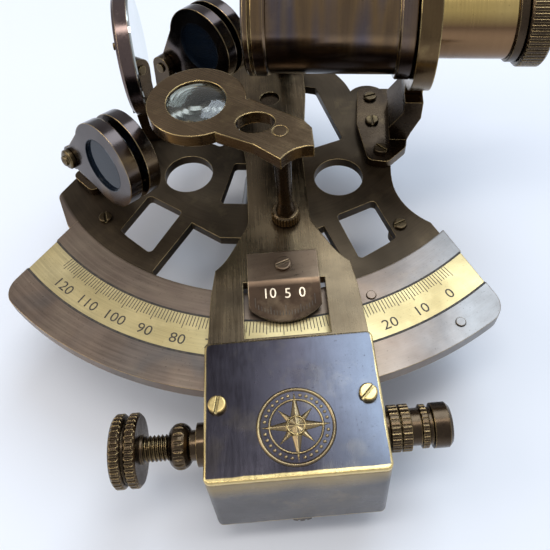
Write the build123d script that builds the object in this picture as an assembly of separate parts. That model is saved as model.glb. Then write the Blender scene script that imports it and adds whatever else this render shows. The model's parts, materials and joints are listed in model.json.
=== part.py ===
"""Brass marine sextant lying on its three feet, in millimetres.

+Z is up and z = 0 is the floor.  The index arm's pivot is the Z axis.  The arm points along -Y at rest.
The casting, with all that is fixed to it, is laid out in its own plan, symmetric about its Y axis, and is
then turned by FRAME_TURN about the pivot, so that the arm reads a little off the middle of the arc.
"""
from build123d import *
import math
import os

os.makedirs("parts", exist_ok=True)

# ---------------------------------------------------------------- driving dimensions
FRAME_TURN = -7.5        # plan angle of the casting about the pivot, degrees
FEET_H = 27.0            # floor to the underside of the casting
WEB_T = 3.0              # thickness of the casting's web
LIMB_T = 4.0             # thickness of the casting's limb
STRIP_R_OUT = 90.0       # outer radius of the scale strip: the instrument's main size
STRIP_W = 10.5
STRIP_R_IN = STRIP_R_OUT - STRIP_W
LIMB_R_IN = STRIP_R_IN - 8.0
LIMB_R_OUT = STRIP_R_OUT + 9.0
LIMB_HALF_IN = 46.8      # half angle of the limb at its inner edge, degrees
LIMB_HALF_OUT = 42.0     # half angle of the limb at its outer edge, degrees
STRIP_T = 1.0
HEAD_R = 28.0            # round head of the web, about the pivot
WEB_HALF = 38.6          # half width of the web beside the pivot
LOBE_R = 6.7             # small round lobe at each shoulder of the web
CORNER_R = 1.2
STRIP_SEAT = 0.1         # side clearance of the scale strip in its groove
BUSH_R = 6.0
PIN_INSIDE = 1.88634        # pins in the limb: how far inside and outside the strip, and at which angles
PIN_OUTSIDE = 4.70396
PIN_ANGLES = (24.187354, 34.764028)
FOOT_IN = 8.14923           # feet under the limb: how far from its inner edge, and at which angle
FOOT_ANGLE = 38.884496
STUD_R = 2.0
STUD_H = 2.5
HOLE_R = 1.25            # clearance hole of the small screws
SHANK_R = 1.2
SLOT_HALF = 0.34         # half width of a screw's slot
PIN_RADII = (STRIP_R_IN - PIN_INSIDE, STRIP_R_OUT + PIN_OUTSIDE)
PIN_PLACES = []
for pin_r, pin_angle in zip(PIN_RADII, PIN_ANGLES):
    pin_turn = math.radians(pin_angle)
    PIN_PLACES.append((pin_r * math.sin(pin_turn), -pin_r * math.cos(pin_turn)))
FOOT_R = LIMB_R_IN + FOOT_IN
FOOT_X = FOOT_R * math.sin(math.radians(FOOT_ANGLE))
FOOT_Y = -FOOT_R * math.cos(math.radians(FOOT_ANGLE))
FOOT_PLACES = [(FOOT_X, FOOT_Y), (-FOOT_X, FOOT_Y)]
FOOT_SCREWS = [(40.4, -46.8), (-44.5, -47.0)]
HANDLE_SCREWS = [(0.0, -20.0), (0.0, -46.9)]
WEB_SCREWS = FOOT_SCREWS + HANDLE_SCREWS
HUB_BOSS_R = 7.9         # threaded boss under the casting that carries the top foot
HUB_BOSS_H = 2.8

STRAP_T = 2.6
STRAP_HALF_W = 3.0

GRIP_TOP = 20.0          # handle under the casting
GRIP_BOTTOM = 7.0
GRIP_HALF = 8.0
GRIP_Y0 = -16.0
GRIP_Y1 = -62.0
HANDLE_POST_R = 3.4
HANDLE_PAD_R = 4.6
HANDLE_PAD_T = 2.0
HANDLE_STUD_R = 2.0
HANDLE_STUD_H = 4.0

ARM_T = 3.0              # index arm
ARM_GAP = 0.8            # arm's underside above the limb
ARM_HEAD_HALF = 11.8
ARM_HALF = 8.5
ARM_REAR_Y = 33.0
BELL_Y = -49.5           # where the arm starts to widen
BELL_END_HALF = 17.7
BELL_END_Y = -65.5
WINDOW_HALF = 10.6
WINDOW_FAR_Y = -69.9
WINDOW_NEAR_Y = -86.0
ARM_BORE_R = 5.0
ARM_EYE_R = 3.2
PIVOT_HEAD_H = 2.0
TAIL_Y = -(LIMB_R_OUT + 0.4)

VERNIER_SCREW_X = 0.15
VERNIER_SCREW_Y = -65.7
VERNIER_HALF = 9.3
VERNIER_T = 0.8
VERNIER_BEND_Y = -70.2
VERNIER_END_Y = -80.8
VERNIER_DROP = 3.3       # how far the tilted leaf falls along its length
VERNIER_TIP_R = 13.0

BOX_HALF = 20.0          # housing of the tangent screw
BOX_FAR_Y = -(LIMB_R_OUT - 11.4)
BOX_NEAR_Y = -(LIMB_R_OUT + 21.0)
BOX_TOP_Z = 36.0
BOX_BOTTOM_Z = 12.0
BOX_LEAN = 2.2           # the near wall stands this much further out at its foot
BOX_WALL = 2.4
BOX_CORNER_R = 1.5
COVER_T = 1.2
LIMB_GAP = 0.8           # housing's clearance around the limb

SCREW_Y = -(LIMB_R_OUT + 9.0)   # axis of the tangent screw
SCREW_Z = 27.0
THREAD_R = 2.4
WHEEL_R = 8.3
WHEEL_X0 = -41.6
WHEEL_X1 = -35.6
TRAVEL = 2.4             # clamp block, each way
CLAMP_Y = -(LIMB_R_OUT + 13.5)  # axis of the clamp screw
CLAMP_KNOB_R = 8.4
CLAMP_KNOB_Z0 = 3.0
CLAMP_KNOB_Z1 = 7.8
BUSH_SPIGOT_R = 4.0
BARREL_SPIGOT_R = 4.3
BOSS_Y0 = -(LIMB_R_OUT + 0.9)
BOSS_Y1 = -(LIMB_R_OUT + 7.6)
COVER_SCREW_IN = 3.1     # cover screws from the box's sides
COVER_SCREW_Y = -(LIMB_R_OUT + 4.2)
COVER_SCREWS = [(side * (BOX_HALF - COVER_SCREW_IN), COVER_SCREW_Y) for side in (-1, 1)]
CLAMP_SHANK_R = 2.0
BARREL_BORE = 3.4
PLUNGER_R = 1.6
BLOCK_HALF = 10.0
BORE_END_X = 7.0         # blind end of the block's threaded bore
SCREW_TIP_X = BORE_END_X - TRAVEL - 0.6
BLOCK_Y0 = -(LIMB_R_OUT + 17.6)
BLOCK_Y1 = -(LIMB_R_OUT + 6.0)
BLOCK_Z0 = 18.2
BLOCK_Z1 = 32.0
SHOE_HALF = 6.0
SHOE_FAR_Y = -(LIMB_R_OUT - 6.4)
SHOE_NOSE_Y = -(LIMB_R_OUT + 4.4)
SHOE_Z0 = 20.8
SHOE_T = 2.2
SHOE_TOP = 26.2
TUNNEL_Z0 = 20.0
TUNNEL_Z1 = 24.0

POST_X = 2.0             # post of the reading glass
POST_Y = -49.5
POST_R = 2.4
GLASS_PLATE_Z = 64.5
GLASS_PLATE_T = 3.5
RING_X = -18.2           # centre of the reading glass
RING_Y = -36.5
RING_R = 12.5
READER_R = 7.6
POST_STUD_R = 1.6
POST_NUT_R = 3.9
POST_NUT_H = 3.6
PIVOT_PIN_R = 1.2
RIVET_R = 1.8
RIVET_T = 0.8
LEDGE_T = 0.9            # lip over the lens
LENS_DOME = 1.4
POST_NUT_TEETH = 28

SCOPE_Y = -6.0           # telescope axis, in the casting's plan
SCOPE_Z = 71.0
SCOPE_X0 = -3.2          # front end
BEZEL_LEN = 6.2
TUBE_X1 = 37.1
COLLAR_LEN = 4.4
RING_LEN = 5.3
TUBE_R = 16.2
TUBE_WALL = 1.0
COLLAR_R = 17.5
SPIGOT_R = 14.0
STAND_RING_R = 20.5
DRAW_R = 11.8
DRAW_WALL = 1.0
DRAW_X0 = 20.0
DRAW_X1 = 66.8
EYECUP_R = 13.8
EYECUP_LEN = 6.4

HORIZON_X = -39.1        # centre of the horizon mirror
HORIZON_Y = -2.3
HORIZON_Z = 58.0
HORIZON_AZ = 5.3         # azimuth of its normal, degrees
HORIZON_R = 17.8
HORIZON_T = 4.2
HORIZON_GLASS_R = 16.8
HORIZON_GLASS_T = 2.6
HORIZON_FOOT_T = 3.0
HORIZON_FOOT_HALF = 8.0
HORIZON_FOOT_OUT = 9.5
HORIZON_SCREWS = [(-5.0, 6.0), (5.0, 6.0)]      # (across, out) in the mirror's own plane

SHADE_R = 12.2           # both sets of shades
SHADE_OPEN_R = 7.5
SHADE_T = 3.6
SHADE_GAP = 2.4          # between the two shades of a set
SHADE_BOLT_R = 1.5
SHADE_EYE_R = 3.6
TAIL_HALF = 6.0
SHADE_LIP = 0.8          # lip that the shade glass lies on
SHADE_GLASS_T = 1.6
SHADE_FOOT_T = 2.6

MIRROR_X = 1.5           # index mirror, middle of its glass
MIRROR_Y = 21.0
MIRROR_AZ = 195.0        # azimuth that the index mirror faces, degrees
MIRROR_HALF = 9.0
MIRROR_H = 24.0
MIRROR_T = 2.4
MIRROR_BASE_T = 2.0
MIRROR_BACK_T = 2.0
MIRROR_LIFT = 2.2        # glass above the arm

STAND_TOP_Z = 48.0       # upright of the telescope
STAND_FOOT_T = 3.0
STAND_MIDDLE_Y = -7.5
STAND_HALF_W = 8.5
BOSS_HALF = 6.0
STAND_SCREWS = [(32.6, 3.0), (33.0, -8.0), (35.4, -20.4)]

PIVOT_R = 3.45
RUN = 0.05               # radial running clearance of shafts
PLAY = 0.1               # end play between moving faces
FIT = 0.05               # clearance of a fitted piece

# ---------------------------------------------------------------- levels worked out from them
LIMB_TOP = FEET_H + LIMB_T
WEB_TOP = FEET_H + WEB_T
ARM_Z0 = LIMB_TOP + ARM_GAP
ARM_Z1 = ARM_Z0 + ARM_T
CAVITY_HALF = BOX_HALF - BOX_WALL
GLASS_TOP = GLASS_PLATE_Z + GLASS_PLATE_T
RING_X0 = TUBE_X1 + COLLAR_LEN
RING_X1 = RING_X0 + RING_LEN
SHADE_STEP = SHADE_T + SHADE_GAP
BEZEL_X1 = SCOPE_X0 + BEZEL_LEN
FLANGE_X1 = DRAW_X1 + 2.8
EYE_X1 = FLANGE_X1 + EYECUP_LEN


# ---------------------------------------------------------------- helpers
def block(x0, x1, y0, y1, z0, z1):
    """A box between six planes."""
    middle = Pos((x0 + x1) / 2, (y0 + y1) / 2, (z0 + z1) / 2)
    return middle * Box(abs(x1 - x0), abs(y1 - y0), abs(z1 - z0))


def rod(radius, z0, z1, x=0.0, y=0.0):
    """A cylinder along Z."""
    return Pos(x, y, (z0 + z1) / 2) * Cylinder(radius, abs(z1 - z0))


def tube(outer, inner, z0, z1, x=0.0, y=0.0):
    """A round tube along Z."""
    return rod(outer, z0, z1, x, y) - rod(inner, z0 - 1, z1 + 1, x, y)


def outline(points, corner=0.0):
    """A flat face with straight sides and rounded corners."""
    face = make_face(Polyline(*points, close=True))
    if corner > 0:
        face = fillet(face.vertices(), corner)
    return face


def raised(face, z0, z1):
    """A flat face extruded upward between two levels."""
    return Pos(0, 0, z0) * extrude(face, amount=z1 - z0, dir=(0, 0, 1))


def prism(points, z0, z1, corner=0.0):
    return raised(outline(points, corner), z0, z1)


def spun_z(profile):
    """A solid of revolution about Z from points (radius, z)."""
    face = make_face(Polyline(*[(r, 0, z) for r, z in profile], close=True))
    return revolve(face, Axis.Z, 360)


def spun_x(profile, y, z):
    """A solid of revolution about an X line from points (x, radius)."""
    face = make_face(Polyline(*[(x, r, 0) for x, r in profile], close=True))
    return Pos(0, y, z) * revolve(face, Axis.X, 360)


def on_casting(shape):
    """Turns a shape from the casting's plan to where the casting lies."""
    return Rot(0, 0, FRAME_TURN) * shape


def slotted_screw(head_r, head_h, shank_r, shank_len, slot_turn=0.0):
    """A screw along Z: its head stands on z = 0 and its shank goes down."""
    head = rod(head_r, 0, head_h)
    head = fillet(head.edges().group_by(Axis.Z)[-1], 0.35 * head_h)
    slot = block(-2 * head_r, 2 * head_r, -SLOT_HALF, SLOT_HALF, 0.4 * head_h, 2 * head_h)
    slot = Rot(0, 0, slot_turn) * slot
    return head - slot + rod(shank_r, -shank_len, 0.1)


def fluted(shape, radius, x0, x1, teeth, depth):
    """Cuts even flutes along X around the tangent screw's axis."""
    for i in range(teeth):
        turn = math.radians(i * 360 / teeth)
        flute = Rot(0, 90, 0) * Cylinder(depth, x1 - x0)
        middle = Pos((x0 + x1) / 2, SCREW_Y + radius * math.cos(turn), SCREW_Z + radius * math.sin(turn))
        shape -= middle * flute
    return shape


def knurled(radius, x0, x1, teeth, depth, y, z):
    """A knurled rim along X: a cylinder with fine flutes around it."""
    edge = 0.6
    profile = [(x0, 0), (x0, radius - edge), (x0 + edge, radius)]
    profile += [(x1 - edge, radius), (x1, radius - edge), (x1, 0)]
    rim = spun_x(profile, y, z)
    for i in range(teeth):
        turn = math.radians(i * 360 / teeth)
        flute = Rot(0, 90, 0) * Cylinder(depth, 2 * (x1 - x0))
        rim -= Pos((x0 + x1) / 2, y + radius * math.cos(turn), z + radius * math.sin(turn)) * flute
    return rim


def mirrored(points):
    return [(-x, y) for x, y in reversed(points)]


# ---------------------------------------------------------------- casting and limb
def end_point(radius, half_angle, sign):
    turn = math.radians(half_angle)
    return (sign * radius * math.sin(turn), -radius * math.cos(turn))


def limb_wedge(inset):
    """Region of the plan between the limb's two end lines."""
    right_in = end_point(LIMB_R_IN, LIMB_HALF_IN, 1)
    right_out = end_point(LIMB_R_OUT, LIMB_HALF_OUT, 1)
    run_x = right_out[0] - right_in[0]
    run_y = right_out[1] - right_in[1]
    start = (right_in[0] - 0.5 * run_x - inset, right_in[1] - 0.5 * run_y)
    stop = (right_out[0] + run_x - inset, right_out[1] + run_y)
    floor = (stop[0], -2 * LIMB_R_OUT)
    right = [start, stop, floor]
    return make_face(Polyline(*right, *mirrored(right), close=True))


def limb_face():
    ring = Circle(LIMB_R_OUT) - Circle(LIMB_R_IN)
    return (ring & limb_wedge(0)).face()


def web_face():
    """Outline of the web with its openings, in the casting's plan."""
    sweep_x = 58.7
    sweep_y = -28.2
    sweep_r = sweep_x - WEB_HALF - 0.1
    half = [(WEB_HALF, 5), (WEB_HALF, sweep_y), (54, -54), (54, -LIMB_R_OUT)]
    body = outline([*half, *mirrored(half)])
    body = body + Circle(HEAD_R)
    for side in (-1, 1):
        body = body + Pos(side * (WEB_HALF - LOBE_R), 5.8) * Circle(LOBE_R)
        body = body - Pos(side * sweep_x, sweep_y) * Circle(sweep_r)
    body = body & Circle(LIMB_R_IN + 1)
    wing = Polygon((-36, -14), (-46, -17), (-55.5, -28), (-61, -39), (-54, -52), (-36, -46), align=None)
    body = body + fillet(wing.vertices().sort_by(Axis.X)[:3], 3)
    for side in (-1, 1):
        body = body - Pos(side * 22.8, -29.1) * Circle(7.3)
        window = [(22.4, -44), (33.3, -38), (39.3, -51.2), (36.5, -53.6), (29, -59)]
        triangle = [(9.5, 12), (14.5, 11), (24, -13), (14.5, -17.5), (9.5, -12)]
        body = body - outline([(side * x, y) for x, y in window], CORNER_R)
        body = body - outline([(side * x, y) for x, y in triangle], CORNER_R)
    body = body - outline([(-9.3, -24.5), (9.3, -24.5), (11.8, -40.5), (-11.8, -40.5)], CORNER_R)
    lower = [(10.2, -52.9), (19, -47.9), (27.2, -64.8)]
    lower_cut = make_face(Polyline(*lower, (20, -80), *mirrored([*lower, (20, -80)]), close=True))
    body = body - (lower_cut & Circle(LIMB_R_IN))
    return body


def frame_casting():
    limb = raised(limb_face(), FEET_H, LIMB_TOP)
    rim = limb.edges().filter_by(Axis.Z)
    outer = [e for e in rim if math.hypot(e.center().X, e.center().Y) > LIMB_R_OUT - 1]
    limb = fillet(outer, 6)
    limb -= tube(STRIP_R_OUT + STRIP_SEAT, STRIP_R_IN - STRIP_SEAT, LIMB_TOP - STRIP_T, LIMB_TOP + 1)
    casting = limb + raised(web_face(), FEET_H, WEB_TOP)
    casting -= rod(BUSH_R + FIT, FEET_H - 1, WEB_TOP + 1)
    for x, y in FOOT_PLACES:
        casting -= rod(STUD_R + FIT, FEET_H - 1, FEET_H + STUD_H + FIT, x, y)
    casting += tube(HUB_BOSS_R, BUSH_R + FIT, FEET_H - HUB_BOSS_H, FEET_H + 1)
    for x, y in WEB_SCREWS + PIN_PLACES + STAND_SCREWS:
        casting -= rod(HOLE_R, FEET_H - 1, LIMB_TOP + 1, x, y)
    casting = on_casting(casting)
    for tool in shade_and_mirror_holes():
        casting -= tool
    return casting


def scale_strip():
    ring = (Circle(STRIP_R_OUT) - Circle(STRIP_R_IN)) & limb_wedge(0.4)
    return on_casting(raised(ring, LIMB_TOP - STRIP_T, LIMB_TOP))


def limb_pins():
    pins = []
    for x, y in PIN_PLACES:
        pins.append(on_casting(rod(SHANK_R, FEET_H, LIMB_TOP + 0.4, x, y)))
    return Compound(children=pins)


def centre_bush():
    inner = PIVOT_R + RUN
    top = ARM_Z0 - PLAY
    flange_r = 9.0
    profile = [(inner, FEET_H - 2), (BUSH_R, FEET_H - 2), (BUSH_R, WEB_TOP), (flange_r, WEB_TOP)]
    return spun_z([*profile, (flange_r, top), (inner, top)])


def top_foot():
    cup_r = 9.5
    cavity_r = 7.2
    seat_r = HUB_BOSS_R + FIT
    seat_z = FEET_H - HUB_BOSS_H - PLAY
    profile = [(0, 0), (4.5, 0), (5.4, 1.2), (6.4, 9), (cup_r, 19), (cup_r, FEET_H), (seat_r, FEET_H)]
    profile += [(seat_r, seat_z), (cavity_r, seat_z), (cavity_r, 20), (0, 20)]
    return spun_z(profile)


def limb_feet():
    """Turned legs, each with a strap under the casting that its screw holds."""
    feet = []
    for (x, y), (screw_x, screw_y) in zip(FOOT_PLACES, FOOT_SCREWS):
        profile = [(0, 0), (3.2, 0), (3.8, 0.8), (3.2, 8), (2.8, 13), (4.4, 23), (4.4, FEET_H)]
        profile += [(STUD_R, FEET_H)]
        leg = Pos(x, y, 0) * spun_z([*profile, (STUD_R, FEET_H + STUD_H), (0, FEET_H + STUD_H)])
        reach = math.hypot(screw_x - x, screw_y - y)
        turn = math.degrees(math.atan2(screw_y - y, screw_x - x))
        strap = block(0, reach, -STRAP_HALF_W, STRAP_HALF_W, FEET_H - STRAP_T, FEET_H)
        strap += rod(STRAP_HALF_W, FEET_H - STRAP_T, FEET_H, reach, 0)
        leg += Pos(x, y, 0) * (Rot(0, 0, turn) * strap)
        leg -= rod(SHANK_R + FIT, FEET_H - STRAP_T - 1, FEET_H + 1, screw_x, screw_y)
        feet.append(on_casting(leg))
    return Compound(children=feet)


def screws_at(places, seat_z, head_r, head_h, length, turns):
    made = []
    for (x, y), turn in zip(places, turns):
        made.append(on_casting(Pos(x, y, seat_z) * slotted_screw(head_r, head_h, SHANK_R, length, turn)))
    return Compound(children=made)


# ---------------------------------------------------------------- handle under the casting


def handle_grip():
    grip = block(-GRIP_HALF, GRIP_HALF, GRIP_Y1, GRIP_Y0, GRIP_BOTTOM, GRIP_TOP)
    grip = fillet(grip.edges().filter_by(Axis.Y), 5.2)
    ends = grip.faces().group_by(Axis.Y)
    grip = fillet(ends[0].edges() + ends[-1].edges(), 3.0)
    for x, y in HANDLE_SCREWS:
        grip -= rod(HANDLE_STUD_R + FIT, GRIP_TOP - HANDLE_STUD_H - 0.3, GRIP_TOP + 1, x, y)
    return on_casting(grip)


def handle_posts():
    """Two posts, each with a pad against the casting and a stud in the grip."""
    posts = []
    for x, y in HANDLE_SCREWS:
        post = rod(HANDLE_POST_R, GRIP_TOP, FEET_H, x, y)
        post += rod(HANDLE_PAD_R, FEET_H - HANDLE_PAD_T, FEET_H, x, y)
        post += rod(HANDLE_STUD_R, GRIP_TOP - HANDLE_STUD_H, GRIP_TOP + 0.1, x, y)
        post -= rod(SHANK_R + FIT, FEET_H - 5, FEET_H + 1, x, y)
        posts.append(on_casting(post))
    return Compound(children=posts)


# ---------------------------------------------------------------- index arm and pivot


def arm_face():
    """Plan of the arm: round head, straight stem, bell mouth and broad tail."""
    stem = [(ARM_HEAD_HALF, ARM_REAR_Y), (ARM_HEAD_HALF, 2), (ARM_HALF, -28), (ARM_HALF, BELL_Y)]
    right = Polyline(*stem)
    bell_end = (BELL_END_HALF, BELL_END_Y)
    bell = Spline((ARM_HALF, BELL_Y), (11.2, -56), bell_end, tangents=[(0.1, -1), (1, -0.75)])
    side = [bell_end, (BOX_HALF - 1.2, -(LIMB_R_IN + 1.5)), (BOX_HALF - 0.4, BOX_FAR_Y)]
    tail = Polyline(*side, (CAVITY_HALF, BOX_FAR_Y), (CAVITY_HALF, TAIL_Y), (0, TAIL_Y))
    back = Line((0, ARM_REAR_Y), (ARM_HEAD_HALF, ARM_REAR_Y))
    middle = Line((0, TAIL_Y), (0, ARM_REAR_Y))
    half = make_face(Wire([back.edge(), *right.edges(), bell.edge(), *tail.edges(), middle.edge()]))
    return half + mirror(half, Plane.YZ)


def index_arm():
    arm = raised(arm_face(), ARM_Z0, ARM_Z1)
    corners = [e for e in arm.edges().filter_by(Axis.Z) if e.center().Y > ARM_REAR_Y - 1]
    arm = fillet(corners, 7)
    arm -= block(-WINDOW_HALF, WINDOW_HALF, WINDOW_NEAR_Y, WINDOW_FAR_Y, ARM_Z0 - 1, ARM_Z1 + 1)
    arm -= rod(ARM_BORE_R + FIT, ARM_Z0 - 1, ARM_Z0 + PIVOT_HEAD_H)
    arm -= rod(ARM_EYE_R, ARM_Z0, ARM_Z1 + 1)
    arm -= rod(SHANK_R + FIT, ARM_Z0 - 1, ARM_Z1 + 1, VERNIER_SCREW_X, VERNIER_SCREW_Y)
    arm -= rod(POST_STUD_R + FIT, ARM_Z0 - 1, ARM_Z1 + 1, POST_X, POST_Y)
    for x, y in MIRROR_SCREWS:
        arm -= rod(SHANK_R + FIT, ARM_Z0 - 1, ARM_Z1 + 1, x, y)
    return arm


def pivot_shaft():
    return rod(ARM_BORE_R, ARM_Z0, ARM_Z0 + PIVOT_HEAD_H) + rod(PIVOT_R, 21.4, ARM_Z0 + 0.1)


def pivot_washer():
    return tube(5.6, PIVOT_R + FIT, FEET_H - 2.5, FEET_H - 2 - PLAY)


def pivot_nut():
    top = FEET_H - 2.5
    nut = raised(RegularPolygon(4.7, 6), top - 2, top)
    return nut - rod(PIVOT_R + FIT, top - 3, top + 1)


def vernier_plate():
    """A flat leaf on the arm that bends down through the window to the scale."""
    top = ARM_Z1 + VERNIER_T
    leaf = prism([(-VERNIER_HALF, VERNIER_BEND_Y), (VERNIER_HALF, VERNIER_BEND_Y), (VERNIER_HALF, -61.5),
                  (-VERNIER_HALF, -61.5)], ARM_Z1, top)
    run = VERNIER_BEND_Y - VERNIER_END_Y
    tilt = math.degrees(math.atan2(VERNIER_DROP, run))
    slope_len = math.hypot(VERNIER_DROP, run)
    tip = Pos(0, VERNIER_TIP_R - slope_len) * Circle(VERNIER_TIP_R)
    strip = outline([(-VERNIER_HALF, -slope_len), (VERNIER_HALF, -slope_len),
                     (VERNIER_HALF, 0), (-VERNIER_HALF, 0)])
    blade = Pos(0, 0, -VERNIER_T) * extrude(strip & tip, amount=VERNIER_T, dir=(0, 0, 1))
    blade = Pos(0, VERNIER_BEND_Y, top) * Rot(tilt, 0, 0) * blade
    plate = leaf + blade
    return plate - rod(SHANK_R + FIT, ARM_Z1 - 1, top + 1, VERNIER_SCREW_X, VERNIER_SCREW_Y)


def vernier_screw():
    seat = ARM_Z1 + VERNIER_T
    return Pos(VERNIER_SCREW_X, VERNIER_SCREW_Y, seat) * slotted_screw(2.1, 0.9, SHANK_R, seat - ARM_Z0, 20)


# ---------------------------------------------------------------- index mirror on the arm


def mirror_plane():
    turn = math.radians(MIRROR_AZ)
    normal = (math.cos(turn), math.sin(turn), 0)
    along = (-math.sin(turn), math.cos(turn), 0)
    return Plane(origin=(MIRROR_X, MIRROR_Y, ARM_Z1), x_dir=along, z_dir=normal)


def mirror_screw_places():
    """Two screws behind the mirror's back plate, in the plan of the part."""
    places = []
    for along in (-5.5, 5.5):
        point = mirror_plane().from_local_coords((along, 0, -(MIRROR_T + MIRROR_BACK_T + 3.2)))
        places.append((point.X, point.Y))
    return places


MIRROR_SCREWS = mirror_screw_places()


def on_mirror(shape):
    return mirror_plane().location * shape


def index_mirror_bracket():
    """A base on the arm and an upright plate; local x runs along the mirror, y up, z out of its face."""
    half = MIRROR_HALF + 0.6
    back = block(-half, half, 0, MIRROR_LIFT + MIRROR_H + 0.4, -MIRROR_T - MIRROR_BACK_T, -MIRROR_T)
    base = block(-half, half, 0, MIRROR_BASE_T, -MIRROR_T - MIRROR_BACK_T - 6, 0.4)
    bracket = on_mirror(back + base)
    for x, y in MIRROR_SCREWS:
        bracket -= rod(SHANK_R + FIT, ARM_Z1 - 1, ARM_Z1 + MIRROR_BASE_T + 1, x, y)
    return bracket


def index_mirror_glass():
    return on_mirror(block(-MIRROR_HALF, MIRROR_HALF, MIRROR_LIFT, MIRROR_LIFT + MIRROR_H, -MIRROR_T, 0))


def index_mirror_clip():
    """A spring clip over the top edge of the glass and two lugs under it."""
    top = MIRROR_LIFT + MIRROR_H
    hook = block(-3, 3, top, top + 0.8, -MIRROR_T - MIRROR_BACK_T - 0.8, 0.8)
    hook -= block(-4, 4, top - 1, top + 0.4, -MIRROR_T - MIRROR_BACK_T, -MIRROR_T)
    front = block(-3, 3, top - 4, top + 0.8, 0, 0.8)
    rear = block(-3, 3, top - 8, top + 0.8, -MIRROR_T - MIRROR_BACK_T - 0.8, -MIRROR_T - MIRROR_BACK_T)
    return on_mirror(hook + front + rear)


def index_mirror_screws():
    made = []
    for x, y in MIRROR_SCREWS:
        seat = ARM_Z1 + MIRROR_BASE_T
        made.append(Pos(x, y, seat) * slotted_screw(2.0, 1.1, SHANK_R, seat - ARM_Z0, 35))
    return Compound(children=made)


# ---------------------------------------------------------------- reading glass


def glass_post():
    """Turned post with a collar at its top; its pin carries the reading glass."""
    foot_z = ARM_Z1 + POST_NUT_H
    top_z = GLASS_PLATE_Z - PLAY
    collar_r = POST_R + 0.5
    waist_r = POST_R - 0.4
    profile = [(0, ARM_Z0 + 0.1), (POST_STUD_R, ARM_Z0 + 0.1), (POST_STUD_R, foot_z), (POST_R + 0.3, foot_z)]
    profile += [(waist_r, foot_z + 4), (POST_R, top_z - 3), (collar_r, top_z - 2.4), (collar_r, top_z)]
    profile += [(PIVOT_PIN_R, top_z), (PIVOT_PIN_R, GLASS_TOP - RIVET_T), (0, GLASS_TOP - RIVET_T)]
    return Pos(POST_X, POST_Y, 0) * spun_z(profile)


def glass_post_nut():
    """Round nut with a milled edge."""
    top_z = ARM_Z1 + POST_NUT_H
    rim = 0.5
    profile = [(POST_STUD_R + FIT, ARM_Z1), (POST_NUT_R - rim, ARM_Z1), (POST_NUT_R, ARM_Z1 + rim)]
    profile += [(POST_NUT_R, top_z - rim), (POST_NUT_R - rim, top_z), (POST_STUD_R + FIT, top_z)]
    nut = spun_z(profile)
    for i in range(POST_NUT_TEETH):
        turn = math.radians(i * 360 / POST_NUT_TEETH)
        nut -= rod(0.24, ARM_Z1 - 1, top_z + 1, POST_NUT_R * math.cos(turn), POST_NUT_R * math.sin(turn))
    return Pos(POST_X, POST_Y, 0) * nut


def glass_frame():
    """Flat arm of the reading glass: a ring, a slotted neck and a scalloped end."""
    neck = outline([(-4.8, -37.2), (8, -46.6), (9.6, -49.2), (9.6, -55.2), (1.5, -58.6), (-4.5, -53.2),
                    (-13.4, -48.4), (-16, -40)])
    face = neck + Pos(RING_X, RING_Y) * Circle(RING_R)
    face = face - Pos(8.2, -63.2) * Circle(8.1)
    plate = raised(face, GLASS_PLATE_Z, GLASS_TOP)
    hollow = extrude(Pos(-3.8, -45.9) * Ellipse(4.8, 3.6), amount=9, dir=(0, 0, 1))
    plate -= Pos(0, 0, GLASS_PLATE_Z - 1) * hollow
    plate -= rod(READER_R, GLASS_PLATE_Z - 1, GLASS_TOP + 1, RING_X, RING_Y)
    plate -= rod(READER_R + 1, GLASS_PLATE_Z - 1, GLASS_TOP - LEDGE_T, RING_X, RING_Y)
    plate -= rod(RIVET_R + RUN, GLASS_TOP - RIVET_T - PLAY, GLASS_TOP + 1, POST_X, POST_Y)
    return plate - rod(PIVOT_PIN_R + RUN, GLASS_PLATE_Z - 1, GLASS_TOP + 1, POST_X, POST_Y)


def glass_lens():
    """Lens under the lip, with a dome that fills the opening."""
    seat = GLASS_TOP - LEDGE_T
    dome_r = READER_R - FIT
    profile = [(0, seat - 2), (READER_R + 1 - FIT, seat - 1.6), (READER_R + 1 - FIT, seat), (dome_r, seat)]
    for step in range(1, 7):
        share = 1 - step / 6
        profile.append((dome_r * share, seat + LENS_DOME * (1 - share * share)))
    return Pos(RING_X, RING_Y, 0) * spun_z(profile)


def glass_pivot_cap():
    """Flush head on the pin that holds the arm of the reading glass down."""
    return rod(RIVET_R, GLASS_TOP - RIVET_T, GLASS_TOP, POST_X, POST_Y)


# ---------------------------------------------------------------- box at the end of the arm


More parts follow.
